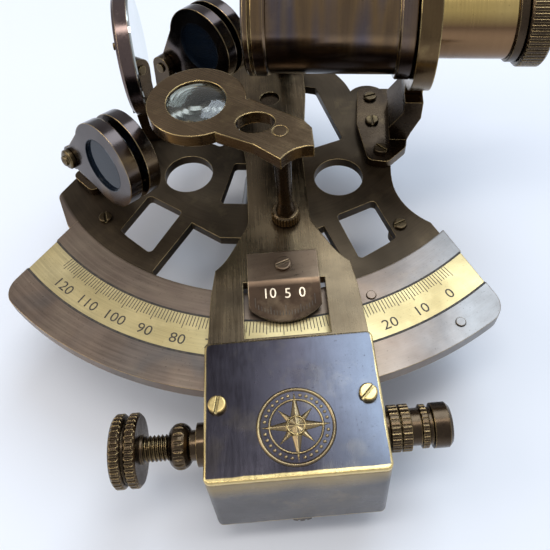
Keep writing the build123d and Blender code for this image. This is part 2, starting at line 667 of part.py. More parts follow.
def box_housing():
    """A walled box that reaches over and under the limb, open where the limb passes."""
    side = [(BOX_NEAR_Y - BOX_LEAN, BOX_BOTTOM_Z), (BOX_FAR_Y, BOX_BOTTOM_Z)]
    side += [(BOX_FAR_Y, BOX_TOP_Z), (BOX_NEAR_Y, BOX_TOP_Z)]
    box = extrude(Plane.YZ * outline(side), amount=BOX_HALF, both=True)
    upright = [edge for edge in box.edges() if edge.bounding_box().size.Z > 10]
    box = fillet(upright, BOX_CORNER_R)
    box -= block(-CAVITY_HALF, CAVITY_HALF, BOX_NEAR_Y + BOX_WALL, BOX_FAR_Y - BOX_WALL,
                 BOX_BOTTOM_Z + BOX_WALL, BOX_TOP_Z + 1)
    for side in (-1, 1):
        inner = side * (CAVITY_HALF - 3.4)
        outer = side * (CAVITY_HALF + 0.5)
        box += block(inner, outer, BOSS_Y1, BOSS_Y0, ARM_Z0, BOX_TOP_Z)
    box -= block(-CAVITY_HALF, CAVITY_HALF, BOX_FAR_Y - 4, BOX_FAR_Y + 1, ARM_Z0, ARM_Z1)
    box -= rod(LIMB_R_OUT + LIMB_GAP, FEET_H - 0.6, ARM_Z0)
    left = Rot(0, 90, 0) * Cylinder(BUSH_SPIGOT_R + FIT, 2 * BOX_WALL + 2)
    right = Rot(0, 90, 0) * Cylinder(BARREL_SPIGOT_R + FIT, 2 * BOX_WALL + 2)
    box -= Pos(-BOX_HALF, SCREW_Y, SCREW_Z) * left
    box -= Pos(BOX_HALF, SCREW_Y, SCREW_Z) * right
    slot_half = TRAVEL + 0.3
    slot_r = CLAMP_SHANK_R + 0.3
    box -= block(-slot_half, slot_half, CLAMP_Y - slot_r, CLAMP_Y + slot_r,
                 BOX_BOTTOM_Z - 1, BOX_BOTTOM_Z + 4)
    for side in (-1, 1):
        box -= rod(slot_r, BOX_BOTTOM_Z - 1, BOX_BOTTOM_Z + 4, side * slot_half, CLAMP_Y)
    for x, y in COVER_SCREWS:
        box -= rod(SHANK_R + FIT, BOX_TOP_Z - 4.2, BOX_TOP_Z + 1, x, y)
    return box


def box_cover():
    corners = [(-BOX_HALF, BOX_NEAR_Y), (BOX_HALF, BOX_NEAR_Y), (BOX_HALF, BOX_FAR_Y), (-BOX_HALF, BOX_FAR_Y)]
    cover = prism(corners, BOX_TOP_Z, BOX_TOP_Z + COVER_T, BOX_CORNER_R)
    cover = chamfer(cover.faces().sort_by(Axis.Z)[-1].edges(), 0.35)
    for x, y in COVER_SCREWS:
        cover -= rod(SHANK_R + FIT, BOX_TOP_Z - 1, BOX_TOP_Z + 9, x, y)
    return cover


def cover_screws():
    made = []
    for (x, y), turn in zip(COVER_SCREWS, (80, 45)):
        seat = BOX_TOP_Z + COVER_T
        made.append(Pos(x, y, seat) * slotted_screw(2.1, 1.3, SHANK_R, COVER_T + 3.9, turn))
    return Compound(children=made)


def tangent_bush():
    """Thrust nut of the tangent screw: spigot in the wall, collar and ball."""
    inner = THREAD_R + RUN
    wall_x = -BOX_HALF
    ball_x = wall_x - 6.6
    ball_r = 5.2
    profile = [(wall_x + BOX_WALL, inner), (wall_x + BOX_WALL, BUSH_SPIGOT_R), (wall_x, BUSH_SPIGOT_R)]
    profile += [(wall_x, 4.9), (wall_x - 2.6, 4.9), (wall_x - 2.6, 3.4), (ball_x + 2.4, 3.4)]
    for step in range(9):
        turn = math.radians(28 + step * (180 - 2 * 28) / 8)
        profile.append((ball_x + 0.52 * ball_r * math.cos(turn), ball_r * (0.45 + 0.55 * math.sin(turn))))
    profile += [(ball_x - 2.4, 3.4), (ball_x - 2.4, inner)]
    nut = spun_x(profile, SCREW_Y, SCREW_Z)
    return fluted(nut, ball_r + 0.15, ball_x - 2.2, ball_x + 2.2, 18, 0.5)


def tangent_screw():
    """Double knurled wheel with its screw."""
    middle = (WHEEL_X0 + WHEEL_X1) / 2
    wheel = knurled(WHEEL_R, WHEEL_X0, middle - 0.35, 36, 0.36, SCREW_Y, SCREW_Z)
    wheel += knurled(WHEEL_R, middle + 0.35, WHEEL_X1, 36, 0.36, SCREW_Y, SCREW_Z)
    hub = [(WHEEL_X0 + 1, 0), (WHEEL_X0 + 1, WHEEL_R - 1.2), (WHEEL_X1 - 1, WHEEL_R - 1.2)]
    hub += [(WHEEL_X1 - 1, 3.6), (WHEEL_X1 + 0.6, 3.2), (WHEEL_X1 + 0.6, THREAD_R)]
    hub += [(SCREW_TIP_X, THREAD_R), (SCREW_TIP_X, 0)]
    return wheel + spun_x(hub, SCREW_Y, SCREW_Z)


def spring_barrel():
    """Turned housing of the plunger spring, with rings, a waist, a bead and a knob."""
    wall_x = BOX_HALF
    profile = [(wall_x - BOX_WALL, BARREL_BORE), (wall_x - BOX_WALL, BARREL_SPIGOT_R)]
    profile += [(wall_x + 1.4, BARREL_SPIGOT_R)]
    profile += [(21.6, 5.3), (23.6, 5.3), (23.9, 4.8), (24.2, 5.3), (26.2, 5.3), (26.4, 4.2), (28.6, 4.2)]
    profile += [(28.9, 4.9), (30.2, 4.9), (30.5, 4.2), (31.2, 4.2), (31.5, 5.1), (34.9, 5.1), (35.7, 4.3)]
    profile += [(35.7, 0), (31.4, 0), (31.4, BARREL_BORE)]
    barrel = spun_x(profile, SCREW_Y, SCREW_Z)
    barrel = fluted(barrel, 5.4, 21.4, 26.4, 24, 0.32)
    return fluted(barrel, 5.0, 28.7, 30.4, 24, 0.3)


def tangent_spring():
    """Coil in the barrel, as rings one pitch apart joined by a short strut."""
    wire = 0.4
    mean = 2.5
    coil = None
    for step in range(9):
        ring = Rot(0, 90, 0) * Torus(mean, wire)
        ring = Pos(19.6 + step * 1.35, SCREW_Y, SCREW_Z) * ring
        coil = ring if coil is None else coil + ring
    strut = Pos(25, SCREW_Y, SCREW_Z + mean) * (Rot(0, 90, 0) * Cylinder(wire * 0.8, 10.8))
    return coil + strut


def clamp_block():
    """Nut of the tangent screw, with the plunger and the guide of the shoe."""
    body = block(-BLOCK_HALF, BLOCK_HALF, BLOCK_Y0, BLOCK_Y1, BLOCK_Z0, BLOCK_Z1)
    body = chamfer(body.edges().filter_by(Axis.Z), 0.8)
    body -= block(-SHOE_HALF - PLAY, SHOE_HALF + PLAY, BLOCK_Y0 - 1, BLOCK_Y1 + 1, TUNNEL_Z0, TUNNEL_Z1)
    bore = Rot(0, 90, 0) * Cylinder(THREAD_R + RUN, BLOCK_HALF + BORE_END_X + 1)
    body -= Pos((BORE_END_X - BLOCK_HALF - 1) / 2, SCREW_Y, SCREW_Z) * bore
    body -= rod(CLAMP_SHANK_R + RUN, BLOCK_Z0 - 1, TUNNEL_Z0 + 0.5, 0, CLAMP_Y)
    plunger = Pos(BLOCK_HALF + 8.4, SCREW_Y, SCREW_Z) * (Rot(0, 90, 0) * Cylinder(PLUNGER_R, 17))
    return body + plunger


def clamp_shoe():
    tongue = block(-SHOE_HALF, SHOE_HALF, BLOCK_Y0 + 0.4, SHOE_FAR_Y, SHOE_Z0, SHOE_Z0 + SHOE_T)
    nose = block(-SHOE_HALF, SHOE_HALF, SHOE_NOSE_Y, SHOE_FAR_Y, SHOE_Z0, SHOE_TOP)
    return tongue + nose


def clamp_screw():
    knob_z0 = CLAMP_KNOB_Z0
    knob_z1 = CLAMP_KNOB_Z1
    rim = 0.7
    profile = [(0, knob_z0), (CLAMP_KNOB_R - rim, knob_z0), (CLAMP_KNOB_R, knob_z0 + rim)]
    profile += [(CLAMP_KNOB_R, knob_z1 - rim)]
    profile += [(CLAMP_KNOB_R - rim, knob_z1), (CLAMP_SHANK_R, knob_z1), (CLAMP_SHANK_R, SHOE_Z0 - RUN)]
    knob = spun_z([*profile, (0, SHOE_Z0 - RUN)])
    for i in range(30):
        turn = math.radians(12 * i)
        x = CLAMP_KNOB_R * math.cos(turn)
        y = CLAMP_KNOB_R * math.sin(turn)
        knob -= rod(0.32, knob_z0 - 1, knob_z1 + 0.5, x, y)
    return Pos(0, CLAMP_Y, 0) * knob


# ---------------------------------------------------------------- telescope and its stand
def on_scope(profile):
    """A piece turned about the telescope's axis, where the casting lies."""
    return on_casting(spun_x(profile, SCOPE_Y, SCOPE_Z))


def sleeve(x0, x1, outer, inner):
    return [(x0, inner), (x0, outer), (x1, outer), (x1, inner)]


def telescope_tube():
    inner = TUBE_R - TUBE_WALL
    bearing = DRAW_R + RUN + 0.02
    profile = [(BEZEL_X1, inner), (BEZEL_X1, TUBE_R), (TUBE_X1, TUBE_R), (TUBE_X1, COLLAR_R - 0.4)]
    profile += [(TUBE_X1 + 0.4, COLLAR_R), (RING_X0 - 0.4, COLLAR_R), (RING_X0, COLLAR_R - 0.4)]
    profile += [(RING_X0, SPIGOT_R), (RING_X1 + 0.8, SPIGOT_R), (RING_X1 + 0.8, bearing), (TUBE_X1, bearing)]
    profile += [(TUBE_X1, inner)]
    return on_scope(profile)


def objective_bezel():
    """Ringed front of the tube, with the seat of the lens and a spigot into the tube."""
    lens_r = 14.5
    x0 = SCOPE_X0
    profile = [(x0, 13.4), (x0, 16.4), (x0 + 0.6, 17.0), (x0 + 1.8, 17.0), (x0 + 2.0, 16.5), (x0 + 2.4, 16.5)]
    profile += [(x0 + 2.6, 17.0), (x0 + 5.6, 17.0), (BEZEL_X1, 16.6), (BEZEL_X1, TUBE_R - TUBE_WALL - FIT)]
    profile += [(BEZEL_X1 + 4, TUBE_R - TUBE_WALL - FIT), (BEZEL_X1 + 4, 13.4)]
    profile += [(x0 + 5.2, 13.4), (x0 + 5.2, lens_r)]
    profile += [(x0 + 1.4, lens_r), (x0 + 1.4, 13.4)]
    return on_scope(profile)


def lens_profile(x0, x1, radius, bulge):
    """Half section of a disc with rounded faces."""
    points = [(x0, 0)]
    for step in range(1, 6):
        share = step / 5
        points.append((x0 + bulge * share * share, radius * share))
    for step in range(5, 0, -1):
        share = step / 5
        points.append((x1 - bulge * share * share, radius * share))
    points.append((x1, 0))
    return points


def objective_lens():
    return on_scope(lens_profile(SCOPE_X0 + 1.4 + 0.1, SCOPE_X0 + 5.1, 14.5 - FIT, 0.9))


def telescope_ring():
    """Ring that holds the telescope, with a boss underneath that stands on the upright."""
    ring = spun_x(sleeve(RING_X0, RING_X1, STAND_RING_R, SPIGOT_R + FIT), SCOPE_Y, SCOPE_Z)
    boss = block(RING_X0, RING_X1, SCOPE_Y - BOSS_HALF, SCOPE_Y + BOSS_HALF,
                 STAND_TOP_Z, SCOPE_Z - STAND_RING_R + 3)
    return on_casting(ring + boss)


def telescope_stand():
    """A lobed foot on the web's right edge and a webbed upright that leans out to the ring."""
    corners = [(28.6, 7.5), (28.2, -9), (31.5, -24.6), (37.5, -25.4), (43.2, -19), (44.2, -9.5), (42.4, 7.5)]
    foot = raised(outline(corners, 2.6), WEB_TOP, WEB_TOP + STAND_FOOT_T)
    side = [(38.6, 0, WEB_TOP + 1), (43, 0, WEB_TOP + 1), (44.4, 0, WEB_TOP + 6), (RING_X1, 0, 42)]
    side += [(RING_X1, 0, STAND_TOP_Z), (RING_X0, 0, STAND_TOP_Z), (RING_X0, 0, 44), (37.6, 0, WEB_TOP + 8)]
    face = make_face(Polyline(*side, close=True))
    upright = Pos(0, STAND_MIDDLE_Y, 0) * extrude(face, amount=STAND_HALF_W, both=True)
    stand = foot + upright
    for x, y in STAND_SCREWS:
        stand -= rod(SHANK_R + FIT, WEB_TOP - 1, WEB_TOP + STAND_FOOT_T + 1, x, y)
    return on_casting(stand)


def draw_tube():
    return on_scope(sleeve(DRAW_X0, DRAW_X1, DRAW_R, DRAW_R - DRAW_WALL))


def eyepiece_flange():
    """Screwed end of the draw tube, with a spigot inside it."""
    inner = DRAW_R - DRAW_WALL
    profile = [(DRAW_X1, 9.6), (DRAW_X1, 12.2), (DRAW_X1 + 0.4, 12.6)]
    profile += [(FLANGE_X1 - 0.4, 12.6), (FLANGE_X1, 12.2)]
    profile += [(FLANGE_X1, 8.4), (DRAW_X1 - 3, 8.4), (DRAW_X1 - 3, inner - FIT), (DRAW_X1, inner - FIT)]
    return on_scope(profile)


def eyecup():
    """Knurled cup around the eye lens."""
    rim = knurled(EYECUP_R, FLANGE_X1, EYE_X1, 60, 0.3, SCOPE_Y, SCOPE_Z)
    bore = spun_x([(FLANGE_X1 - 1, 0), (FLANGE_X1 - 1, 7.0), (FLANGE_X1 + 0.6, 7.0), (FLANGE_X1 + 0.6, 9.6),
                   (EYE_X1 - 1.2, 9.6), (EYE_X1 + 0.1, 10.8), (EYE_X1 + 0.1, 0)], SCOPE_Y, SCOPE_Z)
    return on_casting(rim - bore)


def eye_lens():
    return on_scope(lens_profile(FLANGE_X1 + 0.6, FLANGE_X1 + 2.0, 9.6 - FIT, 0.4))


# ---------------------------------------------------------------- horizon mirror
def horizon_plane():
    turn = math.radians(HORIZON_AZ)
    normal = (math.cos(turn), math.sin(turn), 0)
    across = (-math.sin(turn), math.cos(turn), 0)
    return Plane(origin=(HORIZON_X, HORIZON_Y, HORIZON_Z), x_dir=across, z_dir=normal)


def horizon_ring():
    """Round frame; local x runs across, y up, z out of the glass."""
    half_t = HORIZON_T / 2
    ring = rod(HORIZON_R, -half_t, half_t)
    ring = chamfer(ring.edges().group_by(Axis.Z)[0], 0.8)
    ring -= rod(HORIZON_GLASS_R - 2, -half_t - 1, half_t + 1)
    ring -= rod(HORIZON_GLASS_R + FIT, 0, half_t + 1)
    return horizon_plane().location * ring


def horizon_bracket():
    """A foot on the web and a tongue that cradles the ring from below."""
    floor = WEB_TOP - HORIZON_Z
    half_t = HORIZON_T / 2
    foot = block(-HORIZON_FOOT_HALF, HORIZON_FOOT_HALF, floor, floor + HORIZON_FOOT_T,
                 -half_t, HORIZON_FOOT_OUT)
    tongue = outline([(-HORIZON_FOOT_HALF, floor), (HORIZON_FOOT_HALF, floor), (11, -12), (-11, -12)])
    web = extrude(tongue - Circle(HORIZON_R + FIT), amount=half_t, both=True)
    keep = block(-14, 14, floor, -12.6, -half_t, half_t)
    bracket = horizon_plane().location * (foot + (web & keep))
    for x, y in horizon_screw_places():
        bracket -= rod(SHANK_R + FIT, WEB_TOP - 1, WEB_TOP + HORIZON_FOOT_T + 1, x, y)
    return bracket


def horizon_screw_places():
    places = []
    for across, out in HORIZON_SCREWS:
        point = horizon_plane().from_local_coords((across, 0, out))
        places.append((point.X, point.Y))
    return places


def horizon_glass():
    return horizon_plane().location * rod(HORIZON_GLASS_R, 0, HORIZON_GLASS_T)


def horizon_pins():
    """Four small adjusting screws round the ring's back, in two pairs."""
    made = []
    for turn in (45, 135, 225, 315):
        reach = HORIZON_R - 1.7
        x = reach * math.cos(math.radians(turn))
        y = reach * math.sin(math.radians(turn))
        made.append(horizon_plane().location * rod(1.0, -HORIZON_T / 2 - 0.5, -HORIZON_T / 2, x, y))
    return Compound(children=made)


# ---------------------------------------------------------------- shades
class ShadeSet:
    """Two shades on one bolt.  Local x runs toward the bolt, y up and z along the bolt.

    The shades lean: their plane is tipped about local x.  The foot of their bracket stays level.
    """

    def __init__(self, centre, azimuth, lean, bolt_x, bolt_y):
        turn = math.radians(azimuth)
        dip = math.radians(lean)
        across = (-math.sin(turn), math.cos(turn), 0)
        level = (math.cos(turn), math.sin(turn), 0)
        tipped = (math.cos(dip) * level[0], math.cos(dip) * level[1], math.sin(dip))
        self.plane = Plane(origin=centre, x_dir=across, z_dir=tipped)
        self.level_plane = Plane(origin=centre, x_dir=across, z_dir=level)
        self.bolt_x = bolt_x
        self.bolt_y = bolt_y
        self.floor = WEB_TOP - centre[2]

    def place(self, shape):
        return self.plane.location * shape

    def step(self, index):
        return index * SHADE_STEP

    def ring(self, index):
        """Ring with a flared tail and the eye that turns on the bolt."""
        z0 = self.step(index) - SHADE_T / 2
        z1 = z0 + SHADE_T
        reach = math.hypot(self.bolt_x, self.bolt_y)
        turn = math.degrees(math.atan2(self.bolt_y, self.bolt_x))
        flare = math.sqrt(SHADE_R ** 2 - TAIL_HALF ** 2)
        upper = [(reach, 0), (reach - 1, SHADE_EYE_R), (flare * 0.6, SHADE_R * 0.8), (0, SHADE_R - 0.8)]
        lower = [(x, -y) for x, y in upper[:0:-1]]
        tail = outline([*lower, *upper])
        face = Circle(SHADE_R) + Rot(0, 0, turn) * tail + Pos(self.bolt_x, self.bolt_y) * Circle(SHADE_EYE_R)
        ring = raised(face, z0, z1)
        ring -= rod(SHADE_OPEN_R, z0 - 1, z1 + 1)
        ring -= rod(SHADE_OPEN_R + 1, z0 + SHADE_LIP, z1 + 1)
        return self.place(ring - rod(SHADE_BOLT_R + RUN, z0 - 1, z1 + 1, self.bolt_x, self.bolt_y))

    def glass(self, index):
        z0 = self.step(index) - SHADE_T / 2 + SHADE_LIP
        return self.place(rod(SHADE_OPEN_R + 1 - FIT, z0, z0 + SHADE_GLASS_T))

    def spacer(self):
        z0 = SHADE_T / 2 + PLAY
        z1 = z0 + SHADE_GAP - 2 * PLAY
        return self.place(tube(2.8, SHADE_BOLT_R + FIT, z0, z1, self.bolt_x, self.bolt_y))

    def bolt(self, head_z, end_z):
        """A bolt with a round domed head outside one shade that ends in the bracket."""
        sense = 1 if end_z > head_z else -1
        head = spun_z([(0, 0), (2.9, 0), (2.9, 1.2), (2.4, 1.6), (1.6, 1.7), (1.5, 2.3), (0, 2.8)])
        if sense > 0:
            head = Rot(180, 0, 0) * head
        shank = rod(SHADE_BOLT_R, min(0, end_z - head_z), max(0, end_z - head_z))
        return self.place(Pos(self.bolt_x, self.bolt_y, head_z) * (head + shank))

    def bracket(self, plate_z0, plate_z1, foot, screw):
        """A level round-ended foot on the web and a leaning plate with a round top for the bolt."""
        foot_x0, foot_x1, foot_z0, foot_z1 = foot
        shelf = block(foot_x0, foot_x1, self.floor, self.floor + SHADE_FOOT_T, foot_z0, foot_z1)
        shelf = fillet(shelf.edges().filter_by(Axis.Y), 2)
        solid = self.level_plane.location * shelf
        left = self.bolt_x - SHADE_EYE_R
        right = self.bolt_x + SHADE_EYE_R
        plate = block(left, right, self.floor - 3, self.bolt_y, plate_z0, plate_z1)
        plate += rod(SHADE_EYE_R, plate_z0, plate_z1, self.bolt_x, self.bolt_y)
        solid += self.place(plate) - block(-200, 200, -200, 200, -50, WEB_TOP)
        solid -= self.place(rod(SHADE_BOLT_R + FIT, plate_z0 - 1, plate_z1 + 1, self.bolt_x, self.bolt_y))
        x, y = self.screw_point(screw)
        return solid - rod(SHANK_R + FIT, WEB_TOP - 1, WEB_TOP + SHADE_FOOT_T + 1, x, y)

    def screw_point(self, screw):
        point = self.level_plane.from_local_coords((screw[0], 0, screw[1]))
        return (point.X, point.Y)


HORIZON_SHADES = ShadeSet((-44.2, -39.2, 51.1), 42.5, -9.5, 16.6, -7.6)
INDEX_SHADES = ShadeSet((-19.0, 4.9, 53.8), 48.5, -6.0, 15.4, -12.2)
HORIZON_SHADE_SCREW = (18.0, 1.0)
INDEX_SHADE_SCREW = (10.6, 1.4)


def shade_and_mirror_holes():
    """Screw holes in the casting under the brackets of the mirror and shades."""
    places = horizon_screw_places()
    places.append(HORIZON_SHADES.screw_point(HORIZON_SHADE_SCREW))
    places.append(INDEX_SHADES.screw_point(INDEX_SHADE_SCREW))
    return [rod(HOLE_R, FEET_H - 1, LIMB_TOP + 1, x, y) for x, y in places]


def bracket_screws():
    """Screws of the horizon mirror's foot and of the two shade brackets."""
    made = []
    shank = WEB_T + 2.4
    for x, y in horizon_screw_places():
        made.append(Pos(x, y, WEB_TOP + HORIZON_FOOT_T) * slotted_screw(2.1, 1.1, SHANK_R, shank, 15))
    for shades, screw in ((HORIZON_SHADES, HORIZON_SHADE_SCREW), (INDEX_SHADES, INDEX_SHADE_SCREW)):
        x, y = shades.screw_point(screw)
        made.append(Pos(x, y, WEB_TOP + SHADE_FOOT_T) * slotted_screw(2.1, 1.1, SHANK_R, shank, 60))
    return Compound(children=made)


# ---------------------------------------------------------------- every sub-part by its node name
FAR_FACE = SHADE_STEP + SHADE_T / 2 + PLAY
NEAR_FACE = -SHADE_T / 2 - PLAY

NODES = {
    "frame_casting": frame_casting(),
    "scale_strip": scale_strip(),
    "limb_pins": limb_pins(),
    "centre_bush": centre_bush(),
    "top_foot": top_foot(),
    "limb_feet": limb_feet(),
    "web_screws": screws_at(WEB_SCREWS, WEB_TOP, 1.9, 1.0, 5.2, (30, 110, 70, 15)),
    "handle_grip": handle_grip(),
    "handle_posts": handle_posts(),
    "telescope_stand": telescope_stand(),
    "stand_screws": screws_at(STAND_SCREWS, WEB_TOP + STAND_FOOT_T, 2.1, 1.1, 5.6, (20, 95, 140)),
    "telescope_ring": telescope_ring(),
    "telescope_tube": telescope_tube(),
    "objective_bezel": objective_bezel(),
    "objective_lens": objective_lens(),
    "draw_tube": draw_tube(),
    "eyepiece_flange": eyepiece_flange(),
    "eyecup": eyecup(),
    "eye_lens": eye_lens(),
    "horizon_bracket": horizon_bracket(),
    "horizon_ring": horizon_ring(),
    "horizon_glass": horizon_glass(),
    "horizon_pins": horizon_pins(),
    "bracket_screws": bracket_screws(),
    "index_arm": index_arm(),
    "pivot_shaft": pivot_shaft(),
    "pivot_washer": pivot_washer(),
    "pivot_nut": pivot_nut(),
    "vernier_plate": vernier_plate(),
    "vernier_screw": vernier_screw(),
    "index_mirror_bracket": index_mirror_bracket(),
    "index_mirror_glass": index_mirror_glass(),
    "index_mirror_clip": index_mirror_clip(),
    "index_mirror_screws": index_mirror_screws(),
    "glass_post": glass_post(),
    "glass_post_nut": glass_post_nut(),
    "glass_frame": glass_frame(),
    "glass_lens": glass_lens(),
    "glass_pivot_cap": glass_pivot_cap(),
    "box_housing": box_housing(),
    "box_cover": box_cover(),
    "cover_screws": cover_screws(),
    "tangent_bush": tangent_bush(),
    "tangent_screw": tangent_screw(),
    "spring_barrel": spring_barrel(),
    "tangent_spring": tangent_spring(),
    "clamp_block": clamp_block(),
    "clamp_shoe": clamp_shoe(),
    "clamp_screw": clamp_screw(),
    "horizon_shade_bracket": HORIZON_SHADES.bracket(
        FAR_FACE, FAR_FACE + 2.8, (12, 22, -3, FAR_FACE + 4), HORIZON_SHADE_SCREW),
    "index_shade_bracket": INDEX_SHADES.bracket(
        NEAR_FACE - 2.8, NEAR_FACE, (7, 19, NEAR_FACE - 4, 4), INDEX_SHADE_SCREW),
    "horizon_shade_bolt": HORIZON_SHADES.bolt(NEAR_FACE, FAR_FACE + 3.4),
    "index_shade_bolt": INDEX_SHADES.bolt(FAR_FACE, NEAR_FACE - 3.4),
    "shade_spacers": Compound(children=[HORIZON_SHADES.spacer(), INDEX_SHADES.spacer()]),
    "horizon_shade_front": Compound(children=[HORIZON_SHADES.ring(0), HORIZON_SHADES.glass(0)]),
    "horizon_shade_rear": Compound(children=[HORIZON_SHADES.ring(1), HORIZON_SHADES.glass(1)]),
    "index_shade_front": Compound(children=[INDEX_SHADES.ring(0), INDEX_SHADES.glass(0)]),
    "index_shade_rear": Compound(children=[INDEX_SHADES.ring(1), INDEX_SHADES.glass(1)]),
}

for node, shape in NODES.items():
    export_step(shape, f"parts/{node}.step")
print(len(NODES), "nodes written")
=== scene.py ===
# %% [markdown]
# A brass marine sextant, lying face up on a pale table.
#
# The solids come from the packed model: every casting, screw and lens is already in its place and at its
# real size.  This file gives them their metals and glasses, and adds what is too fine for the solids: the
# engraved scale, the vernier, the screw thread, a painted shadow in the gap beside the strip and an ornament
# on the box.
# Lengths are written in millimetres and multiplied by MM where Blender wants metres.

# %% Load the packed model
import json
import math

import bpy
import numpy as np
from mathutils import Matrix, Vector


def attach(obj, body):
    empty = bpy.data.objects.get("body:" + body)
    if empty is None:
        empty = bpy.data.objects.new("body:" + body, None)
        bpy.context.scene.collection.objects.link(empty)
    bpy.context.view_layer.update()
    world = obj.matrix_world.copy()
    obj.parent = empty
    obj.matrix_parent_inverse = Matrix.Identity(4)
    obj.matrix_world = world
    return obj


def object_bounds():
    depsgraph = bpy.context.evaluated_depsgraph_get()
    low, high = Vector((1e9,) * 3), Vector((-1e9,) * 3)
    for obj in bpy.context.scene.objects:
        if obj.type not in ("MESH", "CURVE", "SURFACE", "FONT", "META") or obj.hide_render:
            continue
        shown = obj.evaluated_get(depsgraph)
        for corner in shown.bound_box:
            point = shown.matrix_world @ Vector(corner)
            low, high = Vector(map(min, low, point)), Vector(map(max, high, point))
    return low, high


MM = 0.001
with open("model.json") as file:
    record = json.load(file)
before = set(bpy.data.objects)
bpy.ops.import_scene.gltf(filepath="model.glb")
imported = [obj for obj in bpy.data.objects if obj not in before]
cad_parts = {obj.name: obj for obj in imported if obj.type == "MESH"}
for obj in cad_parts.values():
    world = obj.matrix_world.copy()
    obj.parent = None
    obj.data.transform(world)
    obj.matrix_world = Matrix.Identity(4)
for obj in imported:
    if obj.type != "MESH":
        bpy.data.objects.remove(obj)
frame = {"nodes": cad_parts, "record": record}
cad_box = [list(corner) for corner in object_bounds()]
nodes = frame["nodes"]
low_corner, high_corner = [[round(v / MM, 1) for v in corner] for corner in cad_box]
print(len(nodes), "nodes; the solids reach from", low_corner, "to", high_corner, "mm")

# %% [markdown]
# The camera looks down at the arc from the scale's side.  It is built from its place, three angles and
# the distance from the eye to the picture.  A camera could also be aimed with a Track To constraint, but
# the three axes written out here make the roll and the off-centre picture plain.  The eye is near, so the
# box in front looks large and the mirrors behind it small.

# %% Where the eye is
EYE = np.array([0.5, -159.4, 174.8])          # mm
LOOK_TURN = math.radians(-1.325)
LOOK_DOWN = math.radians(52.135)
ROLL = math.radians(3.5)
PICTURE = 550.0                               # side of the square picture, px
EYE_DISTANCE = 640.0                          # eye to picture plane, px
CENTRE = (290.0, 220.0)                       # where the line of sight meets the picture, px
SENSOR = 36.0                                 # width of the film, mm
NEAREST, FARTHEST = 0.005, 20.0               # what the camera sees lies between these, m
print("eye", round(float(np.linalg.norm(EYE))), "mm from the pivot's foot")

# %% The camera


def camera_axes():
    """Right, up and backward directions of the camera, from its turn, tilt and roll."""
    forward = np.array([-math.sin(LOOK_TURN) * math.cos(LOOK_DOWN), math.cos(LOOK_TURN) * math.cos(LOOK_DOWN),
                        -math.sin(LOOK_DOWN)])
    right = np.array([math.cos(LOOK_TURN), math.sin(LOOK_TURN), 0.0])
    down = np.cross(forward, right)
    rolled_right = math.cos(ROLL) * right + math.sin(ROLL) * down
    rolled_down = math.cos(ROLL) * down - math.sin(ROLL) * right
    return rolled_right, -rolled_down, -forward


camera_data = bpy.data.cameras.new("eye")
camera = bpy.data.objects.new("eye", camera_data)
bpy.context.collection.objects.link(camera)
axes = camera_axes()
placing = np.eye(4)
placing[:3, 0], placing[:3, 1], placing[:3, 2] = axes
placing[:3, 3] = EYE * MM
camera.matrix_world = Matrix(placing.tolist())
camera_data.sensor_width = SENSOR
camera_data.lens = SENSOR * EYE_DISTANCE / PICTURE
camera_data.shift_x = (PICTURE / 2 - CENTRE[0]) / PICTURE
camera_data.shift_y = (CENTRE[1] - PICTURE / 2) / PICTURE
camera_data.clip_start = NEAREST
camera_data.clip_end = FARTHEST
bpy.context.scene.camera = camera
bpy.context.scene.view_settings.view_transform = "Standard"
print("lens", round(camera_data.lens, 2), "mm")

# %% [markdown]
# Every new surface begins as arrays: rows of points and rows of faces.  Blender's operators could add
# primitives and reshape them one by one, but a mesh made straight from arrays needs no selection and no
# mode, and gives the same result each time.

# %% From arrays to a mesh
def surface_object(name, points, faces, smooth=False):
    """Object from points in millimetres (n, 3) and faces, given as an array or as a list of rows."""
    mesh = bpy.data.meshes.new(name)
    rows = faces if isinstance(faces, list) else faces.tolist()
    mesh.from_pydata((np.asarray(points, float) * MM).tolist(), [], rows)
    mesh.polygons.foreach_set("use_smooth", np.full(len(mesh.polygons), smooth))
    mesh.update()
    made = bpy.data.objects.new(name, mesh)
    bpy.context.collection.objects.link(made)
    return made


# %% [markdown]
# A finish is a tree of nodes that ends in one Principled shader.  Trees can be drawn by hand in the shader
# editor; here a small class has a short method for each step that old metal needs, such as a noise, a
# colour ramp or a mask for worn edges, so that a finish reads as a recipe of a few lines.  All
# patterns are fixed to the object's own coordinates, so they stay on the piece when it moves.

# %% Node-building helpers for the materials


